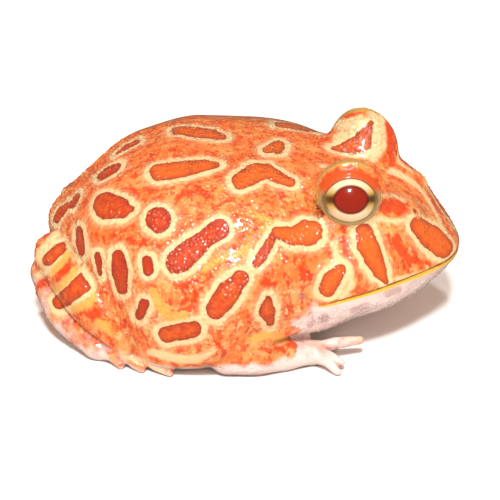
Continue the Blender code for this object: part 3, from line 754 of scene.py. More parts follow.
MARKS: tuple[Mark, ...] = (
    Mark("upper back bar", SPOT, ((176, 129, 4.5), (195, 131.5, 6), (214, 134.5, 5), (224, 137, 2.5)),
         0.75, twin=Twin.NONE),
    Mark("upper rump streak", SPOT, ((116, 153, 1.5), (126, 147, 2.5), (137, 141, 2.5)), 0.6, twin=Twin.NONE),
    Mark("top of the rump spot", SPOT, ((100, 177, 3.5), (110, 171, 4.8), (118, 166, 3.2)),
         0.45, twin=Twin.NONE),
    Mark("long back bar", SPOT,
         ((158, 172.5, 8.5), (174, 170.5, 8.5), (190, 168, 7.5), (205, 165.5, 6), (217, 165, 3)),
         0.8, twin=Twin.NONE),
    Mark("small spot before the nape", SPOT, ((266, 150, 3.5), (278, 147, 7)), 0.9, twin=Twin.NONE),
    Mark("nape streak", SPOT, ((277, 123.5, 2.5), (296, 126, 4), (315, 129, 2.5)), 0.9, twin=Twin.NONE),
    Mark("forked back spot", SPOT,
         ((241, 181, 9), (255, 173, 10), (267, 171, 7.5), (279, 178, 6), (291, 182.5, 4.5)),
         0.85, twin=Twin.NONE),
    Mark("rump spot", SPOT, ((107, 206, 14), (120, 208, 11), (131, 209, 4)), 0.5),
    Mark("round flank spot", SPOT, ((158.5, 220, 13),), 0.35),
    Mark("bridge of the rump spot", RED, ((134, 211, 2), (144, 213, 2)), 0.5),
    Mark("great flank spot", SPOT, ((219, 229, 10.5), (205, 239, 9.5), (191, 251, 12), (178, 262, 12.5)),
         0.4),
    Mark("lower flank bar", SPOT, ((240, 279, 8.5), (228, 293, 12), (216, 309, 10.5)), 0.6),
    Mark("belly edge spot", SPOT, ((167, 334, 8.5), (181, 332, 8.5), (194, 329, 8)), 0.6),
    Mark("hind flank bar", SPOT, ((118, 256, 6.5), (120, 272, 8.5), (122, 289, 5.5)), 0.35),
    Mark("small hind spot", SPOT, ((97, 255, 3), (99, 264, 3.5), (100, 274, 2)), 0.4),
    Mark("hip streak", SPOT, ((79, 229, 3), (80, 241, 4.5), (82, 254, 3)), 0.4),
    Mark("hip spot", SPOT, ((77, 196, 3), (72, 205, 3.5)), 0.5),
    Mark("dot under the great spot", SPOT, ((147, 260, 5), (148, 270, 5.5)), 0.2),
    Mark("low hind dot", SPOT, ((144, 304, 5.5), (140, 315, 5)), 0.35),
    Mark("spot over the arm", SPOT, ((268, 299, 3.5), (267, 311, 8.5), (270, 322, 4.5)), 0.6),
    Mark("tail of the shoulder spot", SPOT, ((273, 235, 4), (267, 247, 5), (262, 256, 6), (256, 264, 4)),
         0.6),
    Mark("shoulder spot", SPOT, ((277, 232, 6), (293, 236, 9.5), (308, 233, 13.5), (317, 232, 8.5)), 1.0),
    Mark("jaw corner spot", SPOT, ((340, 270, 6), (332, 280, 9.5), (327, 289, 8)), 0.9, HEAD, Twin.SAME),
    Mark("cheek bar", SPOT, ((364, 232, 8.5), (367, 243, 11), (373, 257, 10), (380, 272, 7), (386, 282, 3)),
         0.85, HEAD, Twin.SAME),
    Mark("snout spot", SPOT, ((418, 225, 8), (430, 236, 12), (442, 247, 11)), 0.85, HEAD, Twin.SAME),
    Mark("snout ridge streak", RED, ((431, 198, 2), (438, 208, 3), (445, 222, 2)), 0.4, HEAD, Twin.NONE),
    Mark("horn spot", SPOT,
         ((371, 122, 2), (366, 132, 6), (361, 143, 10), (352, 146.5, 8), (342, 148, 4.5), (333, 148, 1.8)),
         0.8, HEAD, Twin.SAME),
    Mark("streak behind the cheek bar", RED, ((341, 228, 4), (344, 242, 5.5), (350, 256, 4), (358, 266, 3)),
         0.8, HEAD, Twin.SAME),
    Mark("streak before the eye", RED, ((384, 207, 8), (396, 207, 8), (406, 214, 4)), 0.8, HEAD, Twin.SAME),
    Mark("streak behind the snout spot", RED, ((396, 236, 5), (400, 250, 7), (411, 260, 7), (427, 263, 3.5)),
         0.8, HEAD, Twin.SAME),
    Mark("red front of the horn", RED,
         ((387, 124, 2.5), (390, 134, 4), (392, 147, 5), (391, 160, 3.5), (390, 172, 3)),
         0.8, HEAD, Twin.SAME),
    Mark("red top of the horn", RED, ((344, 117, 1.8), (354, 114, 2.4), (362, 112, 1.2)),
         0.8, HEAD, Twin.SAME),
    Mark("upper lid fold", RED,
         ((319, 186, 2), (326, 177, 3), (337, 172, 3.5), (350, 170, 4), (363, 173, 3.5), (375, 183, 3)),
         0.8, HEAD, Twin.SAME, 9.2),
    Mark("olive arc over the lid", OLIVE,
         ((317, 184, 1.5), (323, 171, 2.2), (337, 163, 2.6), (351, 161.5, 2.8), (364, 165, 2.2)),
         0.8, HEAD, Twin.SAME, 9.2),
    Mark("olive corner of the lid", OLIVE, ((317, 192, 3), (318, 203, 3)), 0.3, HEAD, Twin.SAME, 9.0),
    Mark("line before the eye", CREAM, ((378, 196, 1.2), (392, 195, 1.4), (404, 200, 1.4)),
         0.8, HEAD, Twin.SAME),
    Mark("line under the eye", CREAM, ((366, 219, 2.2), (380, 219, 2.4), (396, 222, 2), (405, 220, 1.6)),
         0.8, HEAD, Twin.SAME),
    Mark("line of the snout ridge", CREAM,
         ((396, 166, 2), (410, 180, 1.8), (424, 194, 1.6), (436, 212, 1.4), (450, 236, 1.4)),
         0.8, HEAD, Twin.NONE),
    Mark("cream front of the horn", CREAM,
         ((370, 108, 4.5), (378, 114, 5.5), (381, 128, 4.5), (381, 146, 5), (374, 158, 4)),
         0.8, HEAD, Twin.SAME),
    Mark("cream tip of the horn", CREAM, ((348, 109, 2.4), (362, 106.5, 2.4)), 0.8, HEAD, Twin.SAME),
    Mark("cream back of the horn", CREAM,
         ((338, 125, 5), (350, 124, 5.5), (361, 119, 4), (351, 134, 6), (338, 138, 5)), 0.6, HEAD, Twin.SAME),
    Mark("line behind the cheek", CREAM,
         ((331, 226, 2), (333, 243, 2.2), (337, 256, 2.6), (349, 268, 3), (352, 285, 3), (342, 298, 2.5)),
         0.7, HEAD, Twin.SAME),
    Mark("line over the lip", CREAM, ((398, 280, 2.5), (418, 276, 2.8), (436, 268, 2.5)),
         0.7, HEAD, Twin.SAME),
    Mark("stain of the horn", BLOTCH, ((338, 128, 2.5), (342, 134, 1.5)), 0.4, HEAD, Twin.SAME),
    Mark("upper edge of the shank", CREAM, ((68, 229, 2), (55, 235, 3), (44, 246, 3), (36, 257, 3)),
         0.6, LEG),
    Mark("streak over the shank", RED, ((66, 226, 1.5), (53, 231, 1.8), (42, 240, 1.5)), 0.6, LEG),
    Mark("upper shank spot", SPOT, ((69, 242, 3.5), (58, 250, 6), (48, 260, 6)), 0.6, LEG),
    Mark("upper shank band", YELLOW, ((73, 238, 2.5), (70, 251, 3.2), (61, 263, 3.2), (53, 272, 2.6)),
         0.6, LEG),
    Mark("red shank band", RED, ((77, 256, 3), (69, 265, 4), (61, 277, 4)), 0.6, LEG),
    Mark("heel streak", RED, ((54, 281, 4), (41, 283, 3.5)), 0.6, LEG),
    Mark("middle shank band", YELLOW, ((83, 263, 2.4), (74, 272, 3), (64, 284, 3), (56, 290, 3)), 0.6, LEG),
    Mark("heel line", CREAM, ((50, 272, 3), (37, 275, 3)), 0.6, LEG),
    Mark("great shank spot", SPOT, ((85, 282, 10), (73, 292, 8.5), (60, 302, 7.5)), 0.55, LEG),
    Mark("lower shank band", YELLOW, ((96, 293, 3.5), (88, 303, 4), (75, 309, 3.5)), 0.6, LEG),
    Mark("red foot band", RED, ((82, 313, 4), (94, 314, 4.5), (104, 320, 3)), 0.6, LEG),
    Mark("foot spot", RED, ((68, 322, 5.5),), 0.6, LEG),
    Mark("sole streak", RED, ((84, 335, 2), (96, 345, 2.5), (110, 352, 1.5)), 0.6, LEG),
    Mark("yellow foot band", YELLOW, ((98, 322, 3), (108, 329, 4), (118, 336, 3)), 0.6, LEG),
    Mark("line of the longest toe", CREAM, ((120, 352, 2.5), (140, 361, 3), (160, 369, 2.5)), 0.6, LEG),
    Mark("knee spot", SPOT, ((56, 219, 4), (62, 210, 4.5), (68, 204, 3)), 0.5, (*LEG, Region.TRUNK)),
    Mark("elbow streak", RED, ((234, 340, 4), (246, 344, 5)), 0.7, ARM),
    Mark("forearm streak", RED, ((261, 350, 3), (272, 350.5, 4.5), (282, 350, 3.5)), 0.4, ARM),
    Mark("wrist streak", RED, ((292, 346, 4), (306, 347, 3.5), (320, 347, 2)), 0.3, ARM),
    Mark("upper edge of the forearm", YELLOW, ((250, 338, 3), (268, 336, 3.5), (286, 339, 3)), 0.3, ARM),
    Mark("stain over the wrist", BLOTCH, ((324, 318, 4),), 0.5),
    Mark("stain over the forearm", BLOTCH, ((293, 331, 2.5),), 0.5),
    Mark("stain behind the jaw", BLOTCH, ((302, 296, 3),), 0.5),
    Mark("stain under the jaw corner", BLOTCH, ((310, 325, 2.5),), 0.5),
    Mark("front throat stain", BLOTCH, ((388, 293, 3.5), (398, 290, 3)), 0.4),
    Mark("middle throat stain", BLOTCH, ((354, 311, 3.5), (366, 306, 3)), 0.4),
    Mark("belly stain", BLOTCH, ((207, 368, 2.5),), 0.5),
    Mark("red patch over the arm", RED, ((311, 315, 4),), 0.8),
    Mark("streak before the arm spot", RED, ((289, 296, 2), (292, 310, 3)), 0.3),
    Mark("mottle under the rump spot", RED, ((120, 240, 3), (135, 243, 4), (152, 246, 3.5), (163, 247, 2)),
         0.8),
    Mark("hip mottle", RED, ((96, 234, 3), (112, 238, 3.5)), 0.8),
    Mark("mottle over the rump spot", RED, ((130, 190, 5), (140, 200, 3)), 0.8),
    Mark("mottle under the back bar", RED, ((181, 196, 4), (200, 190, 4), (208, 195, 3)), 0.5),
    Mark("long streak down the flank", RED,
         ((245, 244, 2), (232, 252, 2.5), (220, 264, 2.5), (208, 279, 3), (196, 296, 4), (190, 306, 4)), 0.7),
    Mark("mottle behind the shoulder", RED, ((262, 283, 4), (274, 284, 3)), 0.8),
    Mark("mottle under the shoulder spot", RED, ((302, 268, 5), (307, 278, 4)), 0.8),
    Mark("hind flank streak", RED, ((108, 262, 2.5), (107, 280, 2.5), (112, 300, 2.5), (122, 322, 2)), 0.6),
    Mark("second hind flank streak", RED, ((131, 262, 1.8), (134, 280, 1.8), (131, 296, 1.8)), 0.6),
    Mark("yellow net over the belly", YELLOW, ((152, 290, 3), (160, 306, 4.5), (170, 318, 4), (186, 315, 3)),
         0.6),
    Mark("yellow net under the great spot", YELLOW,
         ((204, 270, 2.5), (214, 262, 3), (236, 254, 3), (250, 246, 2.5)), 0.6),
    Mark("yellow net at the shoulder", YELLOW, ((258, 216, 3), (270, 222, 3), (262, 230, 2.5)), 0.6),
    Mark("upper streak of the low flank", RED, ((170, 280, 3), (182, 284, 3.5), (196, 282, 3)), 0.6),
    Mark("lower streak of the low flank", RED, ((165, 300, 2.5), (180, 304, 3), (192, 300, 2.5)), 0.6),
    Mark("line of the belly's edge", CREAM, ((150, 352, 3), (172, 358, 4), (196, 360, 4), (212, 352, 3)),
         0.6),
    Mark("streak down to the belly", RED, ((210, 330, 3), (216, 342, 3), (224, 352, 2.5)), 0.6),
    Mark("streak over the elbow", RED, ((232, 322, 2), (240, 330, 2.5)), 0.6),
    Mark("streak behind the arm spot", RED, ((246, 308, 2.5), (250, 322, 3)), 0.6),
    Mark("streak under the shoulder", RED, ((285, 258, 2), (282, 270, 2.5), (288, 284, 2)), 0.6),
)

FOLDS: tuple[Fold, ...] = (
    Fold("hip fold", ((88, 258, 0), (98, 290, 0), (116, 325, 0), (134, 349, 0)), 0.3, 0.5),
    Fold("hind bar fold", ((104, 262, 0), (109, 290, 0), (122, 322, 0), (137, 349, 0)), 0.25, 0.45),
    Fold("low hind fold", ((131, 295, 0), (133, 322, 0), (141, 350, 0)), 0.22, 0.45),
    Fold("upper hip fold", ((74, 226, 0), (86, 250, 0), (96, 280, 0)), 0.2, 0.45),
    Fold("hind armpit fold", ((276, 262, 0), (284, 277, 0), (292, 296, 0)), 0.25, 0.4),
    Fold("front armpit fold", ((284, 262, 0), (292, 279, 0), (300, 300, 0)), 0.2, 0.4),
    Fold("fold over the elbow", ((305, 296, 0), (311, 310, 0), (314, 326, 0)), 0.3, 0.5),
    Fold("throat fold", ((328, 318, 0), (352, 318, 0), (380, 306, 0)), 0.15, 0.6),
    Fold("snout ridge fold", ((428, 192, 0), (440, 211, 0), (450, 232, 0)), 0.18, 0.3),
)


@dataclass
class Pattern:
    """Lays the markings of the photograph on the skin, and mirrors them on the far side."""

    view: PhotoView
    seed: int = 11
    shift: float = 3.0
    twist: float = 0.14
    grazing: float = 0.45
    growth: Pair = (0.85, 1.12)
    # cosines between a normal and the view, or the chain's plane
    least_facing: float = 0.05
    least_shown: float = 0.02
    least_lean: float = -0.1
    # pixels about the chain's middle in which the skin's nearest point is looked for
    anchor_reach: float = 4.0
    anchor_margin: float = 2.0
    # mm about that point: for the plane, and for the chain as a multiple of its size
    plane_reach: float = 1.5
    size_factor: float = 1.8
    size_margin: float = 3.0
    least_slope: float = 1.2
    # mm past a region's edge, and past the middle plane on either side
    edge_margin: float = 1.0
    near_limit: float = 14.0
    far_limit: float = -4.0
    plain_tone: float = 0.5

    def chain(self, spots: Array, stops: Array) -> tuple[Array, Array]:
        """Signed pixel distance to a chain of discs, and the direction in which it grows.

        Args:
            spots: Places in the picture, shape (n, 2).
            stops: Discs as x, y and radius, shape (m, 3).

        Returns:
            Distances and unit directions.
        """
        best = np.full(len(spots), 1e9)
        course = np.zeros((len(spots), 2))
        pairs = [(stops[0], stops[0])] if len(stops) == 1 else list(zip(stops[:-1], stops[1:]))
        for first, last in pairs:
            run = last[:2] - first[:2]
            share = np.clip(((spots - first[:2]) @ run) / max(run @ run, 1e-9), 0, 1)
            gap = spots - first[:2] - share[:, None] * run
            length = np.linalg.norm(gap, axis=1)
            value = length - (first[2] + share * (last[2] - first[2]))
            nearer = value < best
            best = np.where(nearer, value, best)
            course = np.where(nearer[:, None], gap / np.maximum(length, 1e-6)[:, None], course)
        return best, course

    def lay(self, points: Array, normals: Array, stops: Array) -> Array:
        """Signed distance in mm from a chain of discs, measured along the skin.

        The chain is read through the photograph where the skin faces it, and on the plane
        that touches the skin at the chain's middle where the skin turns away.

        Args:
            points: Skin vertices on the side that the view sees.
            normals: Their normals.
            stops: Discs as x, y and radius in pixels.

        Returns:
            Distances, FAR where the chain doesn't reach.
        """
        back, _, _ = self.view.axes()
        pixels = self.view.pixels(points)
        facing = normals @ back
        out = np.full(len(points), FAR)
        middle = stops[:, :2].mean(axis=0)
        off = np.linalg.norm(pixels - middle, axis=1)
        faces = facing > self.least_facing
        seen = faces & (off < max(self.anchor_reach, off[faces].min() + self.anchor_margin))
        order = np.where(seen)[0]
        hit = order[(points[order] @ back).argmax()]
        anchor = points[hit]
        close = np.linalg.norm(points - anchor, axis=1) < self.plane_reach
        lean = unit((normals * close[:, None]).sum(axis=0))
        size = (np.linalg.norm(stops[:, :2] - middle, axis=1) + stops[:, 2]).max() / self.view.scale
        near = np.linalg.norm(points - anchor, axis=1) < size * self.size_factor + self.size_margin
        near &= normals @ lean > self.least_lean
        if lean @ back < self.grazing:
            depth = (points[near] - anchor) @ lean
            spots = self.view.pixels(points[near] - depth[:, None] * lean)
            lie = np.broadcast_to(lean, (int(near.sum()), 3))
        else:
            near &= facing > self.least_shown
            spots = pixels[near]
            lie = normals[near]
        value, course = self.chain(spots, stops)
        slope = np.maximum(self.view.slope(lie, course), self.least_slope)
        out[near] = np.clip(value / slope, -FAR, FAR)
        return out

    def vary(self, stops: Array, draw: np.random.Generator) -> Array:
        """A chain moved, turned and resized a little about its middle.

        Args:
            stops: Discs as x, y and radius.
            draw: The source of chance.

        Returns:
            The changed chain.
        """
        middle = stops[:, :2].mean(axis=0)
        turn = draw.uniform(-self.twist, self.twist)
        grow = draw.uniform(*self.growth)
        spin = np.array(((math.cos(turn), -math.sin(turn)), (math.sin(turn), math.cos(turn))))
        moved = (stops[:, :2] - middle) @ spin * grow + middle + draw.uniform(-self.shift, self.shift, 2)
        return np.column_stack([moved, stops[:, 2] * grow])

    def paint(self, points: Array, normals: Array, gaps: Array, owners: Array) -> dict[str, Array]:
        """Distances of each paint, and the tone of the nearest spot.

        A marking ends where the skin of its regions does, at the edge where the least gap to
        one of their parts equals the least gap to another part.

        Args:
            points: Skin vertices in mm.
            normals: Their normals.
            gaps: Distances of each vertex to each part, shape (n, parts).
            owners: The value of each part's Region.

        Returns:
            Arrays by the name of their attribute.
        """
        layers = {paint.value: np.full(len(points), FAR) for paint in Paint}
        tone = np.full(len(points), self.plain_tone)
        draw = np.random.default_rng(self.seed)
        for mark in MARKS:
            LOG.debug("mark: %s", mark.name)
            stops = np.array(mark.stops, float)
            mine = np.isin(owners, [region.value for region in mark.region])
            edge = gaps[:, mine].min(axis=1) - gaps[:, ~mine].min(axis=1)
            edge = np.maximum(edge, mark.outer - np.abs(points[:, 1]))
            wanted = edge < self.edge_margin
            sides = [(wanted & (points[:, 1] < self.near_limit), 1.0, stops)]
            twin = self.vary(stops, draw)
            if mark.twin is not Twin.NONE:
                chain = stops if mark.twin is Twin.SAME else twin
                sides.append((wanted & (points[:, 1] > self.far_limit), -1.0, chain))
            for chosen, side, chain in sides:
                flip = np.array((1.0, side, 1.0))
                value = np.full(len(points), FAR)
                value[chosen] = self.lay(points[chosen] * flip, normals[chosen] * flip, chain)
                value = np.maximum(value, edge)
                layer = layers[mark.paint.value]
                if mark.paint is Paint.SPOT:
                    tone = np.where(value < layer, mark.tone, tone)
                layers[mark.paint.value] = np.minimum(layer, value)
        layers["tone"] = tone
        return layers

    def valleys(self, points: Array, normals: Array) -> Array:
        """Depth in mm of the folds: depth * exp(-(distance / width)^2), on both sides.

        Args:
            points: Skin vertices.
            normals: Their normals.

        Returns:
            The depths.
        """
        total = np.zeros(len(points))
        for fold in FOLDS:
            LOG.debug("fold: %s", fold.name)
            for side in (1.0, -1.0):
                flip = np.array((1.0, side, 1.0))
                mine = points[:, 1] * side < 0
                value = np.full(len(points), FAR)
                value[mine] = self.lay(points[mine] * flip, normals[mine] * flip, np.array(fold.stops, float))
                total = np.maximum(total, fold.depth * np.exp(-((value / fold.half_width) ** 2)))
        return total


@dataclass
class Cloth:
    """Vertices, faces and edges of the skin while it is shaped."""

    mesh: bpy.types.Mesh

    def points(self) -> Array:
        """Vertices in mm."""
        flat = np.empty(len(self.mesh.vertices) * 3)
        self.mesh.vertices.foreach_get("co", flat)
        return flat.reshape(-1, 3) / METRES

    def put(self, points: Array) -> None:
        """Writes vertices given in mm."""
        self.mesh.vertices.foreach_set("co", (points * METRES).reshape(-1))
        self.mesh.update()

    def edges(self) -> Array:
        """Pairs of vertices."""
        flat = np.empty(len(self.mesh.edges) * 2, np.int64)
        self.mesh.edges.foreach_get("vertices", flat)
        return flat.reshape(-1, 2)

    def corners(self) -> Array:
        """Triangles.

        Returns:
            Vertex numbers of shape (n, 3).
        """
        self.mesh.calc_loop_triangles()
        flat = np.empty(len(self.mesh.loop_triangles) * 3, np.int64)
        self.mesh.loop_triangles.foreach_get("vertices", flat)
        return flat.reshape(-1, 3)

    def normals(self) -> Array:
        """Vertex normals as sums of the triangles' area vectors.

        Returns:
            Unit normals of shape (n, 3).
        """
        points = self.points()
        tri = self.corners()
        area = np.cross(points[tri[:, 1]] - points[tri[:, 0]], points[tri[:, 2]] - points[tri[:, 0]])
        total = np.zeros_like(points)
        for corner in range(3):
            for axis in range(3):
                total[:, axis] += np.bincount(tri[:, corner], area[:, axis], len(points))
        return unit(total)

    def average(self, values: Array) -> Array:
        """Mean of each vertex's neighbours.

        Args:
            values: One number or vector a vertex.

        Returns:
            The means, in the shape of values.
        """
        ends = self.edges()
        count = len(self.mesh.vertices)
        heads = np.concatenate([ends[:, 0], ends[:, 1]])
        tails = np.concatenate([ends[:, 1], ends[:, 0]])
        degree = np.maximum(np.bincount(heads, minlength=count), 1)
        if values.ndim == 1:
            return np.bincount(heads, values[tails], count) / degree
        columns = [np.bincount(heads, column[tails], count) / degree for column in values.T]
        return np.stack(columns, axis=1)

    def relax(self, share: Array | float, rounds: int) -> None:
        """Moves vertices towards their neighbours' mean by a share, in a number of rounds."""
        for _ in range(rounds):
            points = self.points()
            self.put(points + (self.average(points) - points) * np.asarray(share).reshape(-1, 1))

    def refine(self, wanted: Array) -> None:
        """Halves the edges whose two ends are wanted.

        Args:
            wanted: Marks of the vertices.
        """
        both = wanted[self.edges()].all(axis=1)
        work = bmesh.new()
        work.from_mesh(self.mesh)
        work.edges.ensure_lookup_table()
        chosen = [edge for edge, take in zip(work.edges, both.tolist()) if take]
        bmesh.ops.subdivide_edges(work, edges=chosen, cuts=1, use_grid_fill=True)
        work.to_mesh(self.mesh)
        work.free()
        self.mesh.update()


def grid_faces(rings: int, sides: int, first: int) -> list[tuple[int, ...]]:
    """Quads round a closed loft and a fan at each end, numbered from first.

    Args:
        rings: Number of rings.
        sides: Points in a ring.
        first: Number of the first vertex.

    Returns:
        Faces as tuples of vertex numbers.
    """
    ring, side = np.meshgrid(np.arange(rings - 1), np.arange(sides), indexing="ij")
    low = first + ring * sides
    after = (side + 1) % sides
    quads = np.stack([low + side, low + after, low + sides + after, low + sides + side], axis=-1)
    around = np.arange(sides)
    after = (around + 1) % sides
    head = np.full(sides, first + rings * sides)
    last = first + (rings - 1) * sides
    front = np.stack([head, first + after, first + around], axis=-1)
    back = np.stack([head + 1, last + around, last + after], axis=-1)
    return quads.reshape(-1, 4).tolist() + front.tolist() + back.tolist()


def make_object(name: str, points: Array, faces: list) -> bpy.types.Object:
    """A linked mesh object from points in mm of the frame and a list of faces.

    Args:
        name: Its name.
        points: Vertices in mm.
        faces: Vertex numbers.

    Returns:
        The object.
    """
    mesh = bpy.data.meshes.new(name)
    mesh.from_pydata((np.asarray(points, float) * METRES).tolist(), [], faces)
    mesh.validate()
    obj = bpy.data.objects.new(name, mesh)
    bpy.context.scene.collection.objects.link(obj)
    return obj


def face_out(mesh: bpy.types.Mesh) -> None:
    """Turns the faces of every closed form outwards.

    Args:
        mesh: The mesh, which is changed.
    """
    work = bmesh.new()
    work.from_mesh(mesh)
    bmesh.ops.recalc_face_normals(work, faces=work.faces[:])
    work.to_mesh(mesh)
    work.free()


def store(mesh: bpy.types.Mesh, name: str, values: Array) -> None:
    """Keeps one number or vector a vertex as a mesh attribute."""
    kind = "FLOAT" if values.ndim == 1 else "FLOAT_VECTOR"
    layer = mesh.attributes.new(name, kind, "POINT")
    layer.data.foreach_set("value" if values.ndim == 1 else "vector", values.astype(np.float32).reshape(-1))


def folded(points: Array) -> Array:
    """Points brought to the near side."""
    near = points.copy()
    near[:, 1] = -np.abs(near[:, 1])
    return near


def frame_shift(trunk: Trunk) -> Array:
    """Offset in mm from the body's own axes to the frame, read from the torso's rump."""
    low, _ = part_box("torso")
    return np.array((low.x / METRES - trunk.ends[0] + 0.1, 0.0, 0.0))


@dataclass
class Skin:
    """The one skin of the frog, fused from its forms and then shaped and painted."""

    trunk: Trunk
    orbit: Orbit
    limbs: Limbs
    seat: EyeSeat
    pattern: Pattern
    voxel: float = 0.47
    # share of the way to the neighbours' mean, and rounds: at first, after refining, at the lids
    first_smoothing: tuple[float, int] = (0.5, 2)
    last_smoothing: tuple[float, int] = (0.3, 1)
    lid_smoothing: tuple[float, int] = (0.5, 3)
    # centre of the near swelling, reach and height
    swellings: tuple[tuple[Triple, float, float], ...] = (
        ((17.0, -15.5, 14.0), 5.5, 0.7),
        ((6.0, -20.5, 17.0), 7.5, 0.9),
        ((-20.0, -15.0, 18.0), 7.0, 0.8),
        ((25.5, -7.0, 21.5), 3.6, 0.8),
        ((14.0, 0.0, 27.0), 5.0, -0.8),
        ((21.0, 0.0, 25.6), 4.0, -1.0),
        ((23.5, -12.0, 17.0), 3.6, -0.7),
    )
    # where the mouth sets in, and the reach and height of its lips and its slit
    mouth_start: Pair = (11.0, 15.5)
    lip_reach: float = 1.1
    lip_height: float = 0.45
    slit_depth: float = 0.4
    slit_rise: float = 0.1
    slit_reach: float = 0.17
    nostril: Triple = (25.7, -6.2, 21.0)
    nostril_size: Triple = (0.85, 0.75, 0.75)
    nostril_rim: float = 0.24
    nostril_depth: float = 0.55
    # the rim's middle and half width and the pit's, in the nostril's radii
    rim_middle: float = 1.15
    rim_reach: float = 0.4
    pit_reach: float = 0.62
    pit_limit: float = 4.0
    nostril_least_height: float = 15.0
    # how deep the junctions between parts sink and how sharply they crease; these creases and the folds are
    # also painted with shade
    crease_depth: float = 0.3
    crease_gain: float = 1.7
    fold_shade_gain: float = 2.2
    least_steepness: float = 0.3
    longest_move: float = 0.5
    # the shell about the ball, its ends in shares of the rim angle, and how far it is sunk
    lid_cover: float = 0.5
    lid_sink: float = 0.45
    lid_limit: float = 8.0
    lid_turn: Pair = (-0.2, 0.5)
    shell_band: Pair = (1.12, 1.5)
    shell_narrowing: float = 0.2
    hole_band: Pair = (0.95, 1.08)
    # the skin that is smoothed round the shell
    smooth_band: Pair = (1.25, 1.45)
    smooth_limit: float = 7.5
    # where the faces are small
    eye_reach: float = 6.6
    eye_limit: float = -8.0
    mouth_half: float = 1.0
    nostril_reach: float = 2.6
    toes_start: float = -21.5
    # edge of the pale underside: x and height, and x where it keeps to the mouth
    pale_edge: Stops = (
        (-32.0, 2.0),
        (-15.0, 2.2),
        (-2.0, 2.2),
        (4.0, 3.0),
        (8.0, 6.5),
        (10.5, 10.0),
        (13.0, 11.8),
        (32.0, 12.5),
    )
    pale_limit: float = 31.9
    jaw_start: float = 13.0
    jaw_drop: float = 0.2
    jaw_softness: float = 0.35
    belly_softness: Pair = (2.4, 5.0)
    belly_widening: Pair = (2.0, 8.0)
    arm_edge: float = 4.0
    arm_softness: float = 2.4
    palm_pale: float = 0.75
    palm_edge: float = 2.5
    palm_slope: float = 0.1
    palm_range: Pair = (0.5, 1.0)
    sole_pale: float = 0.55
    sole_slope: float = 0.3
    sole_range: Pair = (0.2, 0.9)
    # creaminess: least, most on flank and cheek, and heights between which it fades
    least_lace: float = 0.1
    flank_lace: float = 0.5
    cheek_lace: float = 0.4
    leg_lace: float = 0.45
    flank_fade: Pair = (20.0, 13.0)
    cheek_fade: Pair = (25.0, 19.0)
    cheek_start: Pair = (12.0, 17.0)
    # beads: heights and places between which they set in, and their share on each region
    bead_rise: Pair = (3.0, 7.0)
    face_start: Pair = (12.0, 20.0)
    face_beads: float = 0.5
    digit_beads: float = 0.12
    arm_beads: float = 0.35
    leg_beads: float = 0.45
    orbit_beads: float = 0.8
    slit_margin: Pair = (0.4, 2.0)
    # widths of the rounded junctions: digits, orbit, wrist and limbs against the trunk
    digit_round: float = 0.3
    orbit_round: float = 0.9
    wrist_round: float = 0.5
    crease_round: float = 0.3

    def shapes(self) -> list[tuple[Region, list[Shape]]]:
        """Every form of the near half with its region."""
        return [(Region.TRUNK, [self.trunk]), (Region.ORBIT, [self.orbit]), *self.limbs.parts()]

    def fused(self) -> bpy.types.Object:
        """Joins the closed forms and remeshes them as one surface.

        Returns:
            The object.
        """
        points: list[Array] = []
        faces: list[tuple[int, ...]] = []
        count = 0
        for region, group in self.shapes():
            for shape in group:
                rings, first, last = shape.surface()
                cloud = np.vstack([rings.reshape(-1, 3), first, last])
                for flip in (np.ones(3), MIRROR)[: 1 if region is Region.TRUNK else 2]:
                    points.append(cloud * flip)
                    new = grid_faces(rings.shape[0], rings.shape[1], count)
                    faces += new if flip[1] > 0 else [tuple(face[::-1]) for face in new]
                    count += len(cloud)
        obj = make_object("skin", np.vstack(points), faces)
        face_out(obj.data)
        remesh = obj.modifiers.new("fuse", "REMESH")
        remesh.mode = "VOXEL"
        remesh.voxel_size = self.voxel * METRES
        remesh.adaptivity = 0.0
        bpy.context.view_layer.update()
        graph = bpy.context.evaluated_depsgraph_get()
        result = bpy.data.meshes.new_from_object(obj.evaluated_get(graph))
        obj.modifiers.clear()
        obj.data = result
        result.name = "skin"
        return obj

    def sense(self, points: Array) -> tuple[Array, Array, Array]:
        """Distance from each point to each part, and the blend of all parts.

        Args:
            points: Places of shape (n, 3).

        Returns:
            Distances of shape (n, parts), the blended distance and its weighted direction.
        """
        near = folded(points)
        fields = []
        for _, group in self.shapes():
            fields.append(blend([shape.sense(near) for shape in group], self.digit_round))
        gaps = np.stack([field[0] for field in fields], axis=1)
        head = blend(fields[: Part.UPPER_ARM], self.orbit_round)
        arm = blend(fields[Part.FOREARM : Part.THIGH], self.wrist_round)
        far, out = blend([head, fields[Part.UPPER_ARM], arm, *fields[Part.THIGH :]], self.crease_round)
        return gaps, far, out * np.where(points[:, 1:2] >= 0, MIRROR, 1.0)

    def settle(self, cloth: Cloth) -> None:
        """Moves vertices onto the blended form by distance over slope, a short way at most.

        Args:
            cloth: The skin.
        """
        points = cloth.points()
        _, far, out = self.sense(points)
        steep = np.maximum((out**2).sum(axis=1), self.least_steepness)
        move = out * (far / steep)[:, None]
        length = np.linalg.norm(move, axis=1, keepdims=True)
        cloth.put(points - move * np.minimum(1.0, self.longest_move / np.maximum(length, 1e-6)))

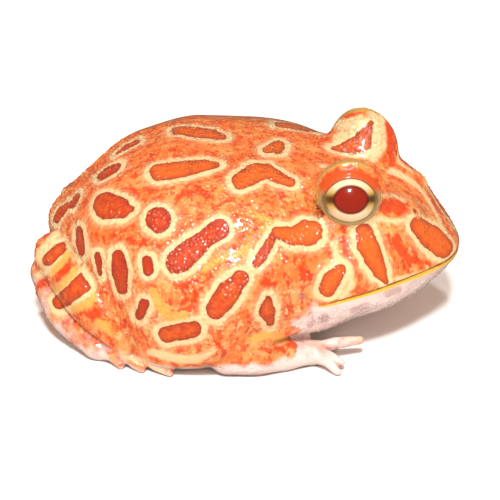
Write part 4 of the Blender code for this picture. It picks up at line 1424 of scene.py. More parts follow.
    def fine(self, points: Array) -> Array:
        """Marks where the skin needs small faces: eyes, mouth, nostrils and digits.

        Args:
            points: Skin vertices.

        Returns:
            True where faces are halved.
        """
        near = folded(points)
        eye = np.linalg.norm(near - np.array(self.seat.centre), axis=1) < self.eye_reach
        eye &= near[:, 1] < self.eye_limit
        mouth = np.abs(points[:, 2] - self.trunk.mouth(points[:, 0])) < self.mouth_half
        mouth &= points[:, 0] > self.mouth_start[0]
        nose = np.linalg.norm(near - np.array(self.nostril), axis=1) < self.nostril_reach
        gaps, _, _ = self.sense(points)
        owner = gaps.argmin(axis=1)
        hand = owner == Part.HAND
        toes = (owner == Part.FOOT) & (points[:, 0] > self.toes_start)
        return eye | mouth | nose | hand | toes

    def build(self) -> bpy.types.Object:
        """Fuses, refines, shapes and paints the skin.

        Returns:
            The finished object in the frame's place.
        """
        obj = self.fused()
        cloth = Cloth(obj.data)
        cloth.relax(*self.first_smoothing)
        self.settle(cloth)
        self.settle(cloth)
        cloth.refine(self.fine(cloth.points()))
        cloth.relax(*self.last_smoothing)
        self.settle(cloth)
        self.shape(cloth)
        self.dress(cloth)
        cloth.put(cloth.points() + frame_shift(self.trunk))
        obj.data.shade_smooth()
        return obj

    def shape(self, cloth: Cloth) -> None:
        """Adds swellings, creases, lips, folds, nostrils and the seat of each eye.

        Args:
            cloth: The skin, whose slit, lip and pit are kept for its paint, and whose creases and folds are
                kept as a mask of painted shade.
        """
        points = cloth.points()
        normals = cloth.normals()
        near = folded(points)
        gaps, _, out = self.sense(points)
        owner = gaps.argmin(axis=1)
        body = (owner <= Part.ORBIT).astype(float)
        lift = np.zeros(len(points))
        for centre, reach, height in self.swellings:
            far = np.linalg.norm(near - np.array(centre), axis=1) / reach
            lift += height * np.exp(-(far**2)) * (owner == Part.TRUNK)
        x = points[:, 0]
        gap = points[:, 2] - self.trunk.mouth(x)
        along = ease(x, *self.mouth_start) * body
        lift += self.lip_height * np.exp(-((gap / self.lip_reach) ** 2)) * along
        lift -= self.slit_depth * np.exp(-(((gap - self.slit_rise) / self.slit_reach) ** 2)) * along
        crease_and_shade = np.clip(self.crease_gain * (1 - (out**2).sum(axis=1)), 0, 1)
        lift -= self.crease_depth * crease_and_shade
        folds = self.pattern.valleys(points, normals)
        lift -= folds
        points = points + normals * lift[:, None]
        points, pit = self.open_nostrils(points, normals)
        points = self.seat_eyes(points)
        points[:, 2] = np.maximum(points[:, 2], 0.0)
        cloth.put(points)
        radius, _, opened = self.seat.seen(folded(points))
        share, rounds = self.lid_smoothing
        cloth.relax(share * (radius < self.smooth_limit) * ease(opened, *self.smooth_band), rounds)
        # the creases between parts and the skin folds, kept as a mask of painted shade
        self.crease_and_shade = np.clip(crease_and_shade * (owner > Part.ORBIT) + folds * self.fold_shade_gain, 0, 1)
        self.slit = np.where(along > 0.0, gap, FAR)
        self.lip = along
        self.pit = pit

    def open_nostrils(self, points: Array, normals: Array) -> tuple[Array, Array]:
        """Raises a rim round each nostril and sinks a pit.

        The lift is rim * exp(-((far - middle) / reach)^2) - depth * exp(-(far / pit reach)^2),
        where far is the distance from the nostril's middle over its radius.

        Args:
            points: Skin vertices.
            normals: Their normals.

        Returns:
            The moved vertices and the distance far.
        """
        near = folded(points)
        flat = np.hypot(near[:, 0] - self.nostril[0], near[:, 1] - self.nostril[1])
        middle = near[np.where(near[:, 2] > self.nostril_least_height, flat, FAR).argmin()]
        far = np.linalg.norm((near - middle) / np.array(self.nostril_size), axis=1)
        rim = self.nostril_rim * np.exp(-(((far - self.rim_middle) / self.rim_reach) ** 2))
        lift = rim - self.nostril_depth * np.exp(-((far / self.pit_reach) ** 2))
        return points + normals * (lift * (far < self.pit_limit))[:, None], np.minimum(far, FAR)

    def seat_eyes(self, points: Array) -> Array:
        """Rounds the orbit into a shell about the ball and sinks it behind the opening.

        Args:
            points: Skin vertices.

        Returns:
            The moved vertices.
        """
        near = folded(points)
        radius, turn, opened = self.seat.seen(near)
        above = ease(np.sin(turn), *self.lid_turn)
        shell = self.seat.radius + self.lid_cover
        start, end = self.shell_band
        wrap = (1 - ease(opened, start, end - self.shell_narrowing * above)) * (radius < self.lid_limit)
        wanted = radius + (shell - radius) * wrap
        sunk = self.seat.radius - self.lid_sink
        hole = (1 - ease(opened, *self.hole_band)) * (radius < self.lid_limit)
        wanted = wanted + (sunk - wanted) * hole
        centre = np.array(self.seat.centre)
        moved = centre + (near - centre) * (wanted / np.maximum(radius, 1e-6))[:, None]
        moved[:, 1] *= np.where(points[:, 1] >= 0, -1.0, 1.0)
        return np.where((wrap > 0)[:, None], moved, points)

    def dress(self, cloth: Cloth) -> None:
        """Writes the attributes that the skin's material reads.

        Args:
            cloth: The finished shape.
        """
        points = cloth.points()
        normals = cloth.normals()
        gaps, _, _ = self.sense(points)
        owner = gaps.argmin(axis=1)
        names = np.array([region.value for region, _ in self.shapes()])
        regions = names[owner]
        layers = self.pattern.paint(points, normals, gaps, names)
        layers["crease_and_shade"] = self.crease_and_shade
        layers["slit"] = self.slit
        layers["lip"] = self.lip
        layers["pit"] = self.pit
        layers["pale"] = self.paleness(points, normals, regions)
        layers["beads"] = self.beads(points, regions)
        layers["lacy"] = self.laciness(points, regions)
        for name, values in layers.items():
            store(cloth.mesh, name, values)
        self.layers = layers

    def paleness(self, points: Array, normals: Array, regions: Array) -> Array:
        """How far the skin is throat, belly or palm: a step in height that rises to the mouth.

        Args:
            points: Skin vertices.
            normals: Their normals.
            regions: The value of each vertex's Region.

        Returns:
            Shares from 0 to 1.
        """
        x = points[:, 0]
        z = points[:, 2]
        edge = np.array(self.pale_edge)
        line = smooth_curve(edge[:, 0], edge[:, 1], np.clip(x, -self.pale_limit, self.pale_limit))
        line = np.where(x > self.jaw_start, self.trunk.mouth(x) - self.jaw_drop, line)
        narrow, wide = self.belly_softness
        soft = narrow + (wide - narrow) * ease(x, *self.belly_widening)
        soft = np.where(x > self.jaw_start, self.jaw_softness, soft)
        pale = np.clip((line - z) / soft + 0.5, 0, 1)
        arm = np.isin(regions, (Region.ARM.value, Region.HAND.value))
        pale = np.where(arm, np.clip((self.arm_edge - z) / self.arm_softness, 0.0, 1.0), pale)
        hand = np.clip(self.palm_pale + (self.palm_edge - z) * self.palm_slope, *self.palm_range)
        pale = np.where(regions == Region.HAND.value, hand, pale)
        foot = np.clip(self.sole_pale - normals[:, 2] * self.sole_slope, *self.sole_range)
        pale = np.where(regions == Region.FOOT.value, foot, pale)
        return np.clip(pale, 0, 1)

    def laciness(self, points: Array, regions: Array) -> Array:
        """How creamy the ground is: most on the low flank and the cheek, least on the back.

        Args:
            points: Skin vertices.
            regions: The value of each vertex's Region.

        Returns:
            Shares from 0 to 1.
        """
        low = self.least_lace + self.flank_lace * ease(points[:, 2], *self.flank_fade)
        front = self.least_lace + self.cheek_lace * ease(points[:, 2], *self.cheek_fade)
        lacy = low + (front - low) * ease(points[:, 0], *self.cheek_start)
        return np.where(np.isin(regions, (Region.LEG.value, Region.FOOT.value)), self.leg_lace, lacy)

    def beads(self, points: Array, regions: Array) -> Array:
        """How strongly the skin is beaded: full on the back and flank, little on face and feet.

        Args:
            points: Skin vertices.
            regions: The value of each vertex's Region.

        Returns:
            Shares from 0 to 1.
        """
        full = ease(points[:, 2], *self.bead_rise)
        full = full * (1 - self.face_beads * ease(points[:, 0], *self.face_start))
        for region, share in (
            (Region.HAND, self.digit_beads),
            (Region.FOOT, self.digit_beads),
            (Region.ARM, self.arm_beads),
            (Region.LEG, self.leg_beads),
            (Region.ORBIT, self.orbit_beads),
        ):
            full = np.where(regions == region.value, share, full)
        return full * ease(np.abs(self.slit), *self.slit_margin)


@dataclass
class Beads:
    """Low wet domes set over the back, flanks and head, joined in one mesh."""

    cell: float = 0.9
    radius: Pair = (0.24, 0.4)
    height: float = 0.3
    sides: int = 7
    seed: int = 5
    # radii and heights of the two rings, in shares of the dome's
    ring_radii: Pair = (0.55, 1.0)
    ring_heights: Pair = (0.7, -0.12)
    density: float = 0.95
    least_height: float = 1.2
    eye_gap: float = 1.5
    # share of its size that a dome keeps where the skin is hardly beaded
    least_share: float = 0.65
    # a direction that no normal of the skin has
    askew: Triple = (0.31, 0.17, 0.93)

    def build(self, skin: Skin, obj: bpy.types.Object) -> bpy.types.Object:
        """One dome in each cell of a grid where the skin is beaded.

        A dome is two rings and a top about the normal, about as r(t) = R t and h(t) = H R (1 - t^2),
        with the last ring sunk under the skin and closed.

        Args:
            skin: The skin with its painted layers.
            obj: The skin's finished object.

        Returns:
            The joined domes.
        """
        cloth = Cloth(obj.data)
        points = cloth.points()
        normals = cloth.normals()
        draw = np.random.default_rng(self.seed)
        order = draw.permutation(len(points))
        cells = np.floor(points[order] / self.cell).astype(np.int64)
        _, first = np.unique(cells, axis=0, return_index=True)
        chosen = order[first]
        shown = skin.layers["beads"][chosen] * (points[chosen, 2] > self.least_height)
        _, _, opened = skin.seat.seen(folded(points[chosen] - frame_shift(skin.trunk)))
        keep = (draw.random(len(chosen)) < shown * self.density) & (opened > self.eye_gap)
        chosen = chosen[keep]
        share = self.least_share + (1 - self.least_share) * skin.layers["beads"][chosen]
        size = draw.uniform(*self.radius, len(chosen)) * share
        root = points[chosen]
        up = normals[chosen]
        side = unit(np.cross(up, self.askew))
        fore = np.cross(up, side)
        angle = np.linspace(0.0, 2 * math.pi, self.sides, endpoint=False)
        heights = (size[:, None] * self.height * np.array(self.ring_heights))[..., None, None]
        radii = (size[:, None] * np.array(self.ring_radii))[:, :, None, None]
        rings = (
            root[:, None, None, :]
            + up[:, None, None, :] * heights
            + side[:, None, None, :] * radii * np.cos(angle)[None, None, :, None]
            + fore[:, None, None, :] * radii * np.sin(angle)[None, None, :, None]
        )
        tops = root + up * (size * self.height)[:, None]
        count = 2 * self.sides + 1
        cloud = np.concatenate([rings.reshape(len(chosen), -1, 3), tops[:, None, :]], axis=1)
        around = np.arange(self.sides)
        after = (around + 1) % self.sides
        start = np.arange(len(chosen))[:, None, None] * count
        quads = np.stack([self.sides + around, self.sides + after, after, around], axis=1)[None] + start
        caps = np.stack([around, after, np.full(self.sides, 2 * self.sides)], axis=1)[None] + start
        base = (self.sides + around[::-1])[None, None, :] + start
        faces = quads.reshape(-1, 4).tolist() + caps.reshape(-1, 3).tolist()
        faces += base.reshape(-1, self.sides).tolist()
        beads = make_object("skin_beads", cloud.reshape(-1, 3), faces)
        for name, values in skin.layers.items():
            store(beads.data, name, np.repeat(values[chosen], count))
        beads.data.shade_smooth()
        LOG.info("skin_beads: %d domes", len(chosen))
        return beads


@dataclass
class Eye:
    """One eye: the ball with its cornea, and the ring of lids that holds it."""

    seat: EyeSeat
    side: str
    shift: Array
    bulge: float = 0.3
    bulge_angle: float = 0.8
    rings: int = 72
    turns: int = 96
    # sine of the turn where the lower lid ends and where the upper one is full
    corner: Pair = (-0.15, 0.6)
    crest_column: int = 6
    # share of the rim angle and radius over the ball, round the lid's section
    lower_lid: Stops = (
        (0.875, -0.06), (0.885, 0.08), (0.91, 0.2), (0.955, 0.3), (1.01, 0.38), (1.07, 0.42),
        (1.13, 0.4), (1.19, 0.2), (1.14, -0.2), (1.0, -0.3), (0.9, -0.25),
    )
    upper_lid: Stops = (
        (0.74, -0.06), (0.75, 0.12), (0.80, 0.32), (0.89, 0.47), (1.0, 0.56), (1.1, 0.56),
        (1.18, 0.44), (1.24, 0.1), (1.16, -0.2), (1.0, -0.25), (0.86, -0.25),
    )

    def flip(self, points: Array) -> Array:
        """Points on this eye's side, in the frame's place."""
        sign = MIRROR if self.side == "left" else np.ones(3)
        return points * sign + self.shift

    def ball(self) -> bpy.types.Object:
        """The ball: radius plus bulge * exp(-(angle / 0.8)^4) about the direction of sight.

        Returns:
            The object, with its own coordinates as the attribute gaze.
        """
        axis, side, up = self.seat.axes()
        angle = np.linspace(0.0, math.pi, self.rings + 2)[1:-1]
        turn = np.linspace(0.0, 2 * math.pi, self.turns, endpoint=False)
        radius = self.seat.radius + self.bulge * np.exp(-((angle / self.bulge_angle) ** 4))
        out = side * np.cos(turn)[:, None] + up * np.sin(turn)[:, None]
        local = np.stack(
            [
                (radius * np.sin(angle))[:, None] * np.cos(turn)[None, :],
                (radius * np.sin(angle))[:, None] * np.sin(turn)[None, :],
                np.broadcast_to((radius * np.cos(angle))[:, None], (self.rings, self.turns)),
            ],
            axis=-1,
        )
        centre = np.array(self.seat.centre)
        rings = centre + axis * local[..., 2:] + out[None] * (radius * np.sin(angle))[:, None, None]
        front = self.seat.radius + self.bulge
        cloud = np.vstack([rings.reshape(-1, 3), centre + axis * front, centre - axis * self.seat.radius])
        local = np.vstack([local.reshape(-1, 3), (0, 0, front), (0, 0, -self.seat.radius)])
        obj = make_object(self.side + "_eyeball", self.flip(cloud), grid_faces(self.rings, self.turns, 0))
        face_out(obj.data)
        obj.data.shade_smooth()
        store(obj.data, "gaze", local)
        return obj

    def lids(self) -> bpy.types.Object:
        """The lids as a closed band: its section goes from the lower form to the upper one.

        Returns:
            The object, with its own coordinates as the attribute lid.
        """
        turn = np.linspace(0.0, 2 * math.pi, self.turns, endpoint=False)
        rise = ease(np.sin(turn), *self.corner)[:, None]
        low = np.array(self.lower_lid)
        high = np.array(self.upper_lid)
        section = low[None] + (high - low)[None] * rise[..., None]
        spread = np.broadcast_to(turn[:, None], section.shape[:2])
        points = self.seat.place(spread, section[..., 0], self.seat.radius + section[..., 1])
        rings, sides = section.shape[:2]
        ring, place = np.meshgrid(np.arange(rings), np.arange(sides), indexing="ij")
        ahead = (ring + 1) % rings
        after = (place + 1) % sides
        corners = ((ring, place), (ring, after), (ahead, after), (ahead, place))
        faces = np.stack([first * sides + second for first, second in corners], axis=-1)
        faces = faces.reshape(-1, 4).tolist()
        obj = make_object(self.side + "_lids", self.flip(points.reshape(-1, 3)), faces)
        face_out(obj.data)
        obj.data.shade_smooth()
        rim = section[:, :1, 0]
        crest = section[:, self.crest_column, 0][:, None]
        share = (section[..., 0] - rim) / (crest - rim)
        local = np.stack([np.cos(spread), np.sin(spread), share], axis=-1)
        store(obj.data, "lid", local.reshape(-1, 3))
        finer = obj.modifiers.new("finer", "SUBSURF")
        finer.levels = 2
        finer.render_levels = 2
        return obj


def paint(red: int, green: int, blue: int) -> tuple[float, float, float, float]:
    """Linear colour of an sRGB triple of 0 to 255."""
    share = np.array((red, green, blue)) / 255.0
    linear = np.where(share <= 0.04045, share / 12.92, ((share + 0.055) / 1.055) ** 2.4)
    return (*linear.tolist(), 1.0)


Socket = bpy.types.NodeSocket
Source = Socket | float | tuple


@dataclass(frozen=True)
class Noise:
    """A noise: its scale per metre, its octaves and their roughness."""

    scale: float
    detail: float = 2.0
    rough: float = 0.5


@dataclass(frozen=True)
class Layer:
    """A smooth step from none to full, and how far it covers what lies below."""

    none: float
    full: float
    cover: float = 1.0


class Graph:
    """A few words for building shader nodes in a material or a group."""

    def __init__(self, tree: bpy.types.NodeTree) -> None:
        """Keeps the tree."""
        self.tree = tree

    def feed(self, socket: Socket, source: Source) -> None:
        """Links a socket or sets its value.

        Args:
            socket: The input.
            source: A socket to link or a value to set.
        """
        if isinstance(source, Socket):
            self.tree.links.new(source, socket)
        else:
            socket.default_value = source

    def add(self, kind: str, sources: dict | None = None, **settings: object) -> bpy.types.Node:
        """Adds a node.

        Args:
            kind: The node's class.
            sources: What feeds its inputs, by name or number.
            settings: The node's own settings.

        Returns:
            The node.
        """
        node = self.tree.nodes.new(kind)
        for name, value in settings.items():
            setattr(node, name, value)
        for name, source in (sources or {}).items():
            self.feed(node.inputs[name], source)
        return node

    def math(
        self, operation: str, first: Source, second: Source = 0.0, third: Source = 0.0
    ) -> Socket:
        """A scalar operation."""
        return self.add("ShaderNodeMath", {0: first, 1: second, 2: third}, operation=operation).outputs[0]

    def plus(self, first: Source, second: Source) -> Socket:
        """A sum."""
        return self.math("ADD", first, second)

    def times(self, first: Source, second: Source) -> Socket:
        """A product."""
        return self.math("MULTIPLY", first, second)

    def scaled(self, value: Source, grow: Source, moved: Source) -> Socket:
        """A value times grow, plus moved."""
        return self.math("MULTIPLY_ADD", value, grow, moved)

    def length(self, across: Source, rise: Source) -> Socket:
        """Length of (across, rise)."""
        squares = self.plus(self.math("POWER", across, 2.0), self.math("POWER", rise, 2.0))
        return self.math("SQRT", squares)

    def step(self, value: Source, low: float, high: float) -> Socket:
        """Smooth step from 0 at low to 1 at high."""
        sources = {"Value": value, "From Min": low, "From Max": high}
        return self.add("ShaderNodeMapRange", sources, interpolation_type="SMOOTHSTEP").outputs[0]

    def mask(self, value: Source, layer: Layer) -> Socket:
        """A layer's share at a value."""
        share = self.step(value, layer.none, layer.full)
        return share if layer.cover == 1.0 else self.times(share, layer.cover)

    def mix(self, share: Source, first: Source, second: Source) -> Socket:
        """Mixes two colours.

        Args:
            share: Share of the second colour.
            first: The first colour.
            second: The second colour.

        Returns:
            The colour between them.
        """
        node = self.add("ShaderNodeMix", data_type="RGBA")
        _, first_socket, second_socket = [socket for socket in node.inputs if socket.enabled]
        self.feed(node.inputs["Factor"], share)
        self.feed(first_socket, first)
        self.feed(second_socket, second)
        return node.outputs[2]

    def attribute(self, name: str, output: str = "Fac") -> Socket:
        """A mesh attribute."""
        return self.add("ShaderNodeAttribute", attribute_name=name).outputs[output]

    def place(self, moved: Triple = (0.0, 0.0, 0.0)) -> Socket:
        """Object coordinates, moved in metres."""
        spot = self.add("ShaderNodeTexCoord").outputs["Object"]
        return self.add("ShaderNodeVectorMath", {0: spot, 1: moved}, operation="ADD").outputs[0]

    def noise(self, vector: Source, noise: Noise) -> Socket:
        """Noise about 0.5."""
        sources = {"Vector": vector, "Scale": noise.scale, "Detail": noise.detail, "Roughness": noise.rough}
        return self.add("ShaderNodeTexNoise", sources).outputs[0]

    def swing(self, vector: Source, noise: Noise, width: float) -> Socket:
        """Noise about zero: (noise - 0.5) * width."""
        return self.scaled(self.noise(vector, noise), width, -width / 2)

    def group(self, tree: bpy.types.NodeTree, sources: dict) -> bpy.types.Node:
        """A placed node group.

        Args:
            tree: The group.
            sources: What feeds its inputs, by name.

        Returns:
            The node.
        """
        node = self.tree.nodes.new("ShaderNodeGroup")
        node.node_tree = tree
        for name, source in sources.items():
            self.feed(node.inputs[name], source)
        return node


def new_material(name: str, settings: dict[str, Source]) -> tuple[bpy.types.Material, Graph, bpy.types.Node]:
    """A material with its shader set up.

    Args:
        name: The material's name.
        settings: Constant values of the shader's sockets, by name.

    Returns:
        The material, its graph and its shader.
    """
    made = bpy.data.materials.new(name)
    made.use_nodes = True
    shader = made.node_tree.nodes["Principled BSDF"]
    for socket, value in settings.items():
        shader.inputs[socket].default_value = value
    return made, Graph(made.node_tree), shader


def group_tree(
    name: str, inputs: dict[str, str], outputs: dict[str, str]
) -> tuple[Graph, dict, bpy.types.Node]:
    """An empty node group with its sockets.

    Args:
        name: The group's name.
        inputs: Socket kinds by name.
        outputs: Socket kinds by name.

    Returns:
        The graph, its input sockets by name and its output node.
    """
    tree = bpy.data.node_groups.new(name, "ShaderNodeTree")
    for label, kind in inputs.items():
        tree.interface.new_socket(label, in_out="INPUT", socket_type=kind)
    for label, kind in outputs.items():
        tree.interface.new_socket(label, in_out="OUTPUT", socket_type=kind)
    graph = Graph(tree)
    inlet = graph.add("NodeGroupInput")
    outlet = graph.add("NodeGroupOutput")
    return graph, {label: inlet.outputs[label] for label in inputs}, outlet


@dataclass(frozen=True)
class Grain:
    """Relief of the wet skin: fine beads, grit and slow swells. Heights are in mm."""

    cell_scale: float = 1450.0
    cell_randomness: float = 0.85
    bead_spread: float = 1.7
    swell: Noise = Noise(420.0, 3.0)
    grit: Noise = Noise(2800.0)
    beaded: Layer = Layer(0.3, 0.6)
    valley_shade: Layer = Layer(0.45, 0.0)
    bead_height: float = 0.15
    least_height: float = 0.006
    grit_height: float = 0.02
    swell_height: float = 0.14

    def build(self) -> bpy.types.NodeTree:
        """Makes the group, whose beads are 1 - (spread * distance)^2 about their cells' middles.

        Returns:
            The group, with the height of the relief in mm, strong where Share is high, and the share of the
            painted shade in the valleys between the beads.
        """
        graph, inlet, outlet = group_tree(
            "wet_grain",
            {"Vector": "NodeSocketVector", "Share": "NodeSocketFloat"},
            {"Height": "NodeSocketFloat", "ValleyShade": "NodeSocketFloat"},
        )
        sources = {"Vector": inlet["Vector"], "Scale": self.cell_scale, "Randomness": self.cell_randomness}
        cells = graph.add("ShaderNodeTexVoronoi", sources)
        away = graph.times(cells.outputs["Distance"], self.bead_spread)
        dome = graph.math("MAXIMUM", graph.math("SUBTRACT", 1.0, graph.times(away, away)), 0.0)
        wide = graph.noise(inlet["Vector"], self.swell)
        fine = graph.noise(inlet["Vector"], self.grit)
        strong = graph.times(inlet["Share"], graph.mask(wide, self.beaded))
        height = graph.times(dome, graph.scaled(strong, self.bead_height, self.least_height))
        height = graph.plus(height, graph.times(fine, self.grit_height))
        height = graph.plus(height, graph.times(wide, self.swell_height))
        # the share of painted shade in the valleys between the beads
        graph.feed(outlet.inputs["ValleyShade"], graph.times(graph.mask(dome, self.valley_shade), strong))
        graph.feed(outlet.inputs["Height"], height)
        return graph.tree


@dataclass(frozen=True)
class SkinFinish:
    """Colours and gloss of the wet albino skin."""

    grain: bpy.types.NodeTree
    orange: Colour = paint(236, 118, 54)
    peach: Colour = paint(240, 158, 92)
    red: Colour = paint(212, 66, 26)
    cream: Colour = paint(238, 203, 152)
    lace: Colour = paint(232, 176, 112)
    yellow: Colour = paint(224, 168, 82)
    spot_dark: Colour = paint(138, 44, 34)
    spot_red: Colour = paint(190, 62, 30)
    spot_orange: Colour = paint(226, 104, 38)
    olive: Colour = paint(190, 150, 78)
    throat: Colour = paint(236, 214, 206)
    blotch: Colour = paint(172, 126, 124)
    # painted shade in the creases and folds
    fold: Colour = paint(180, 76, 40)
    lip: Colour = paint(236, 178, 40)
    slit: Colour = paint(120, 62, 26)
    # painted shade in the nostrils' pits
    pit: Colour = paint(140, 48, 22)
    # noise that roughens every edge, and its width in mm
    edge_noise: Noise = Noise(560.0, 4.0, 0.65)
    edge_width: float = 1.7
    # the ground: noises, the steps that they pass and how much the spots' surroundings add
    down_flank: Triple = (1.0, 1.0, 0.55)
    cloud_noise: Noise = Noise(330.0, 4.0, 0.6)
    clouds: Layer = Layer(0.44, 0.64, 0.85)
    mottle_noise: Noise = Noise(760.0, 4.0, 0.65)
    speckle_noise: Noise = Noise(1700.0)
    coarse_share: float = 0.72
    ground_edge: float = 0.7
    net_noise: Noise = Noise(520.0, 4.0, 0.62)
    net_near_spots: Layer = Layer(2.6, 0.9)
    net_gain: float = 0.07
    net: Layer = Layer(0.46, 0.58)
    mottle_near_spots: Layer = Layer(2.9, 1.5)
    mottle_gain: float = 0.05
    mottles: Layer = Layer(0.495, 0.6, 0.85)
    fleck_place: Triple = (0.01, 0.02, 0.0)
    fleck_noise: Noise = Noise(820.0, 3.0, 0.6)
    flecks: Layer = Layer(0.58, 0.66)
    blush_width: float = 5.0
    blush: Layer = Layer(0.35, -0.45, 0.9)
    # the pale underside
    patch_place: Triple = (0.02, 0.0, 0.0)
    patch_noise: Noise = Noise(300.0, 3.0)
    patches: Layer = Layer(0.52, 0.72, 0.25)
    fade_noise: Noise = Noise(450.0, 3.0)
    fade_width: float = 1.1
    paleness: Layer = Layer(0.25, 0.8)
    stain: Layer = Layer(0.5, -0.2, 0.5)
    # rings, lines and the painted shade of the creases, in mm from the marking's edge
    ring_edge: float = 0.9
    soft_ring: Layer = Layer(2.0, 1.0, 0.3)
    hard_ring: Layer = Layer(1.3, 0.65, 0.97)
    line_edge: float = 0.6
    line: Layer = Layer(0.45, -0.3, 0.92)
    crease_and_shade: Layer = Layer(0.35, 1.0, 0.6)
    # spots
    spot_edge: float = 0.5
    inside: Layer = Layer(0.14, -0.1)
    core_noise: Noise = Noise(900.0, 3.0, 0.6)
    core_width: float = 1.2
    core: Layer = Layer(0.25, 0.95)
    wide_shade: Layer = Layer(-1.3, -0.2, 0.4)
    narrow_shade: Layer = Layer(-0.35, -0.02, 0.45)
    # the mouth, in mm over the slit, and the nostrils, in their radii
    lip_from: Layer = Layer(-0.5, -0.25)
    lip_to: Layer = Layer(0.2, 0.05)
    lip_cover: float = 0.9
    slit_from: Layer = Layer(-0.08, 0.02)
    slit_to: Layer = Layer(0.2, 0.1)
    slit_cover: float = 0.8
    nostril_rim: Layer = Layer(1.9, 1.2, 0.7)
    # painted shade in the nostril's pit
    nostril_pit_shade: Layer = Layer(0.95, 0.6, 0.9)
    # painted shade in the valleys between the beads: more saturated and darker
    valley_shade_saturation: float = 1.08
    valley_shade_value: float = 0.74
    valley_shade_cover: float = 0.3

    def build(self) -> bpy.types.Material:
        """Lays ground, belly, borders, spots and the mouth in this order, and the relief over all, with
        painted shade in its valleys.

        Returns:
            The material.
        """
        made, graph, shader = new_material(
            "wet_skin",
            {
                "Roughness": 0.3,
                "Coat Weight": 1.0,
                "Coat Roughness": 0.04,
                "Coat IOR": 1.55,
                "Specular IOR Level": 0.3,
                "Subsurface Weight": 0.12,
                "Subsurface Radius": (1.0, 0.4, 0.25),
                "Subsurface Scale": 0.0012,
            },
        )
        spot = graph.place()
        ragged = graph.swing(spot, self.edge_noise, self.edge_width)
        colour = self.ground(graph, spot, ragged)
        colour = self.belly(graph, spot, colour)
        colour = self.borders(graph, ragged, colour)
        colour = self.spots(graph, spot, ragged, colour)
        colour = self.mouth(graph, colour)
        grain = graph.group(self.grain, {"Vector": spot, "Share": graph.attribute("beads")})
        # painted shade: the valleys between the beads are darkened
        valley_shade_settings = {"Saturation": self.valley_shade_saturation, "Value": self.valley_shade_value, "Color": colour}
        valley_shaded = graph.add("ShaderNodeHueSaturation", valley_shade_settings).outputs[0]
        colour = graph.mix(graph.times(grain.outputs["ValleyShade"], self.valley_shade_cover), colour, valley_shaded)
        graph.feed(shader.inputs["Base Color"], colour)
        relief = {"Height": grain.outputs["Height"], "Strength": 1.0, "Distance": METRES}
        bump = graph.add("ShaderNodeBump", relief)
        graph.feed(shader.inputs["Normal"], bump.outputs["Normal"])
        graph.feed(shader.inputs["Coat Normal"], bump.outputs["Normal"])
        return made

    def ground(self, graph: Graph, spot: Source, ragged: Source) -> Socket:
        """Orange with peach clouds, red mottles that run down the flank, and redder round the rings.

        Args:
            graph: The material's graph.
            spot: Object coordinates.
            ragged: Noise about zero that roughens edges.

        Returns:
            The ground's colour.
        """
        clouds = graph.mask(graph.noise(spot, self.cloud_noise), self.clouds)
        colour = graph.mix(clouds, self.orange, self.peach)
        stretched = {0: spot, 1: self.down_flank}
        drawn = graph.add("ShaderNodeVectorMath", stretched, operation="MULTIPLY").outputs[0]
        speckle = graph.times(graph.noise(spot, self.speckle_noise), 1.0 - self.coarse_share)
        mixed = graph.scaled(graph.noise(drawn, self.mottle_noise), self.coarse_share, speckle)
        out = graph.scaled(ragged, self.ground_edge, graph.attribute("spot"))
        net = graph.noise(drawn, self.net_noise)
        net = graph.scaled(graph.mask(out, self.net_near_spots), self.net_gain, net)
        lace = graph.times(graph.mask(net, self.net), graph.attribute("lacy"))
        colour = graph.mix(lace, colour, self.lace)
        mottled = graph.scaled(graph.mask(out, self.mottle_near_spots), self.mottle_gain, mixed)
        colour = graph.mix(graph.mask(mottled, self.mottles), colour, self.red)
        fleck = graph.mask(graph.noise(graph.place(self.fleck_place), self.fleck_noise), self.flecks)
        colour = graph.mix(graph.times(fleck, graph.attribute("lacy")), colour, self.cream)
        wave = graph.scaled(mixed, -self.blush_width, self.blush_width / 2)
        blush = graph.mask(graph.plus(graph.attribute("red"), wave), self.blush)
        return graph.mix(blush, colour, self.red)

    def belly(self, graph: Graph, spot: Source, colour: Source) -> Socket:
        """Pale throat, belly and palms with faint blotches.

        Args:
            graph: The material's graph.
            spot: Object coordinates.
            colour: The colour below.

        Returns:
            The colour with the pale underside.
        """
        patch = graph.mask(graph.noise(graph.place(self.patch_place), self.patch_noise), self.patches)
        pale = graph.mix(patch, self.throat, self.blotch)
        edge = graph.plus(graph.attribute("pale"), graph.swing(spot, self.fade_noise, self.fade_width))
        colour = graph.mix(graph.mask(edge, self.paleness), colour, pale)
        return graph.mix(graph.mask(graph.attribute("blotch"), self.stain), colour, self.blotch)

    def borders(self, graph: Graph, ragged: Source, colour: Source) -> Socket:
        """Cream rings round the spots, cream and yellow lines, olive lids, and painted shade in the creases.

        Args:
            graph: The material's graph.
            ragged: Noise about zero that roughens edges.
            colour: The colour below.

        Returns:
            The colour with the borders.
        """
        out = graph.plus(graph.attribute("spot"), graph.times(ragged, self.ring_edge))
        ring = graph.math("MAXIMUM", graph.mask(out, self.soft_ring), graph.mask(out, self.hard_ring))
        colour = graph.mix(ring, colour, self.cream)
        for name, tint in (("cream", self.cream), ("yellow", self.yellow), ("olive", self.olive)):
            away = graph.plus(graph.attribute(name), graph.times(ragged, self.line_edge))
            colour = graph.mix(graph.mask(away, self.line), colour, tint)
        # painted shade in the creases and folds
        return graph.mix(graph.mask(graph.attribute("crease_and_shade"), self.crease_and_shade), colour, self.fold)

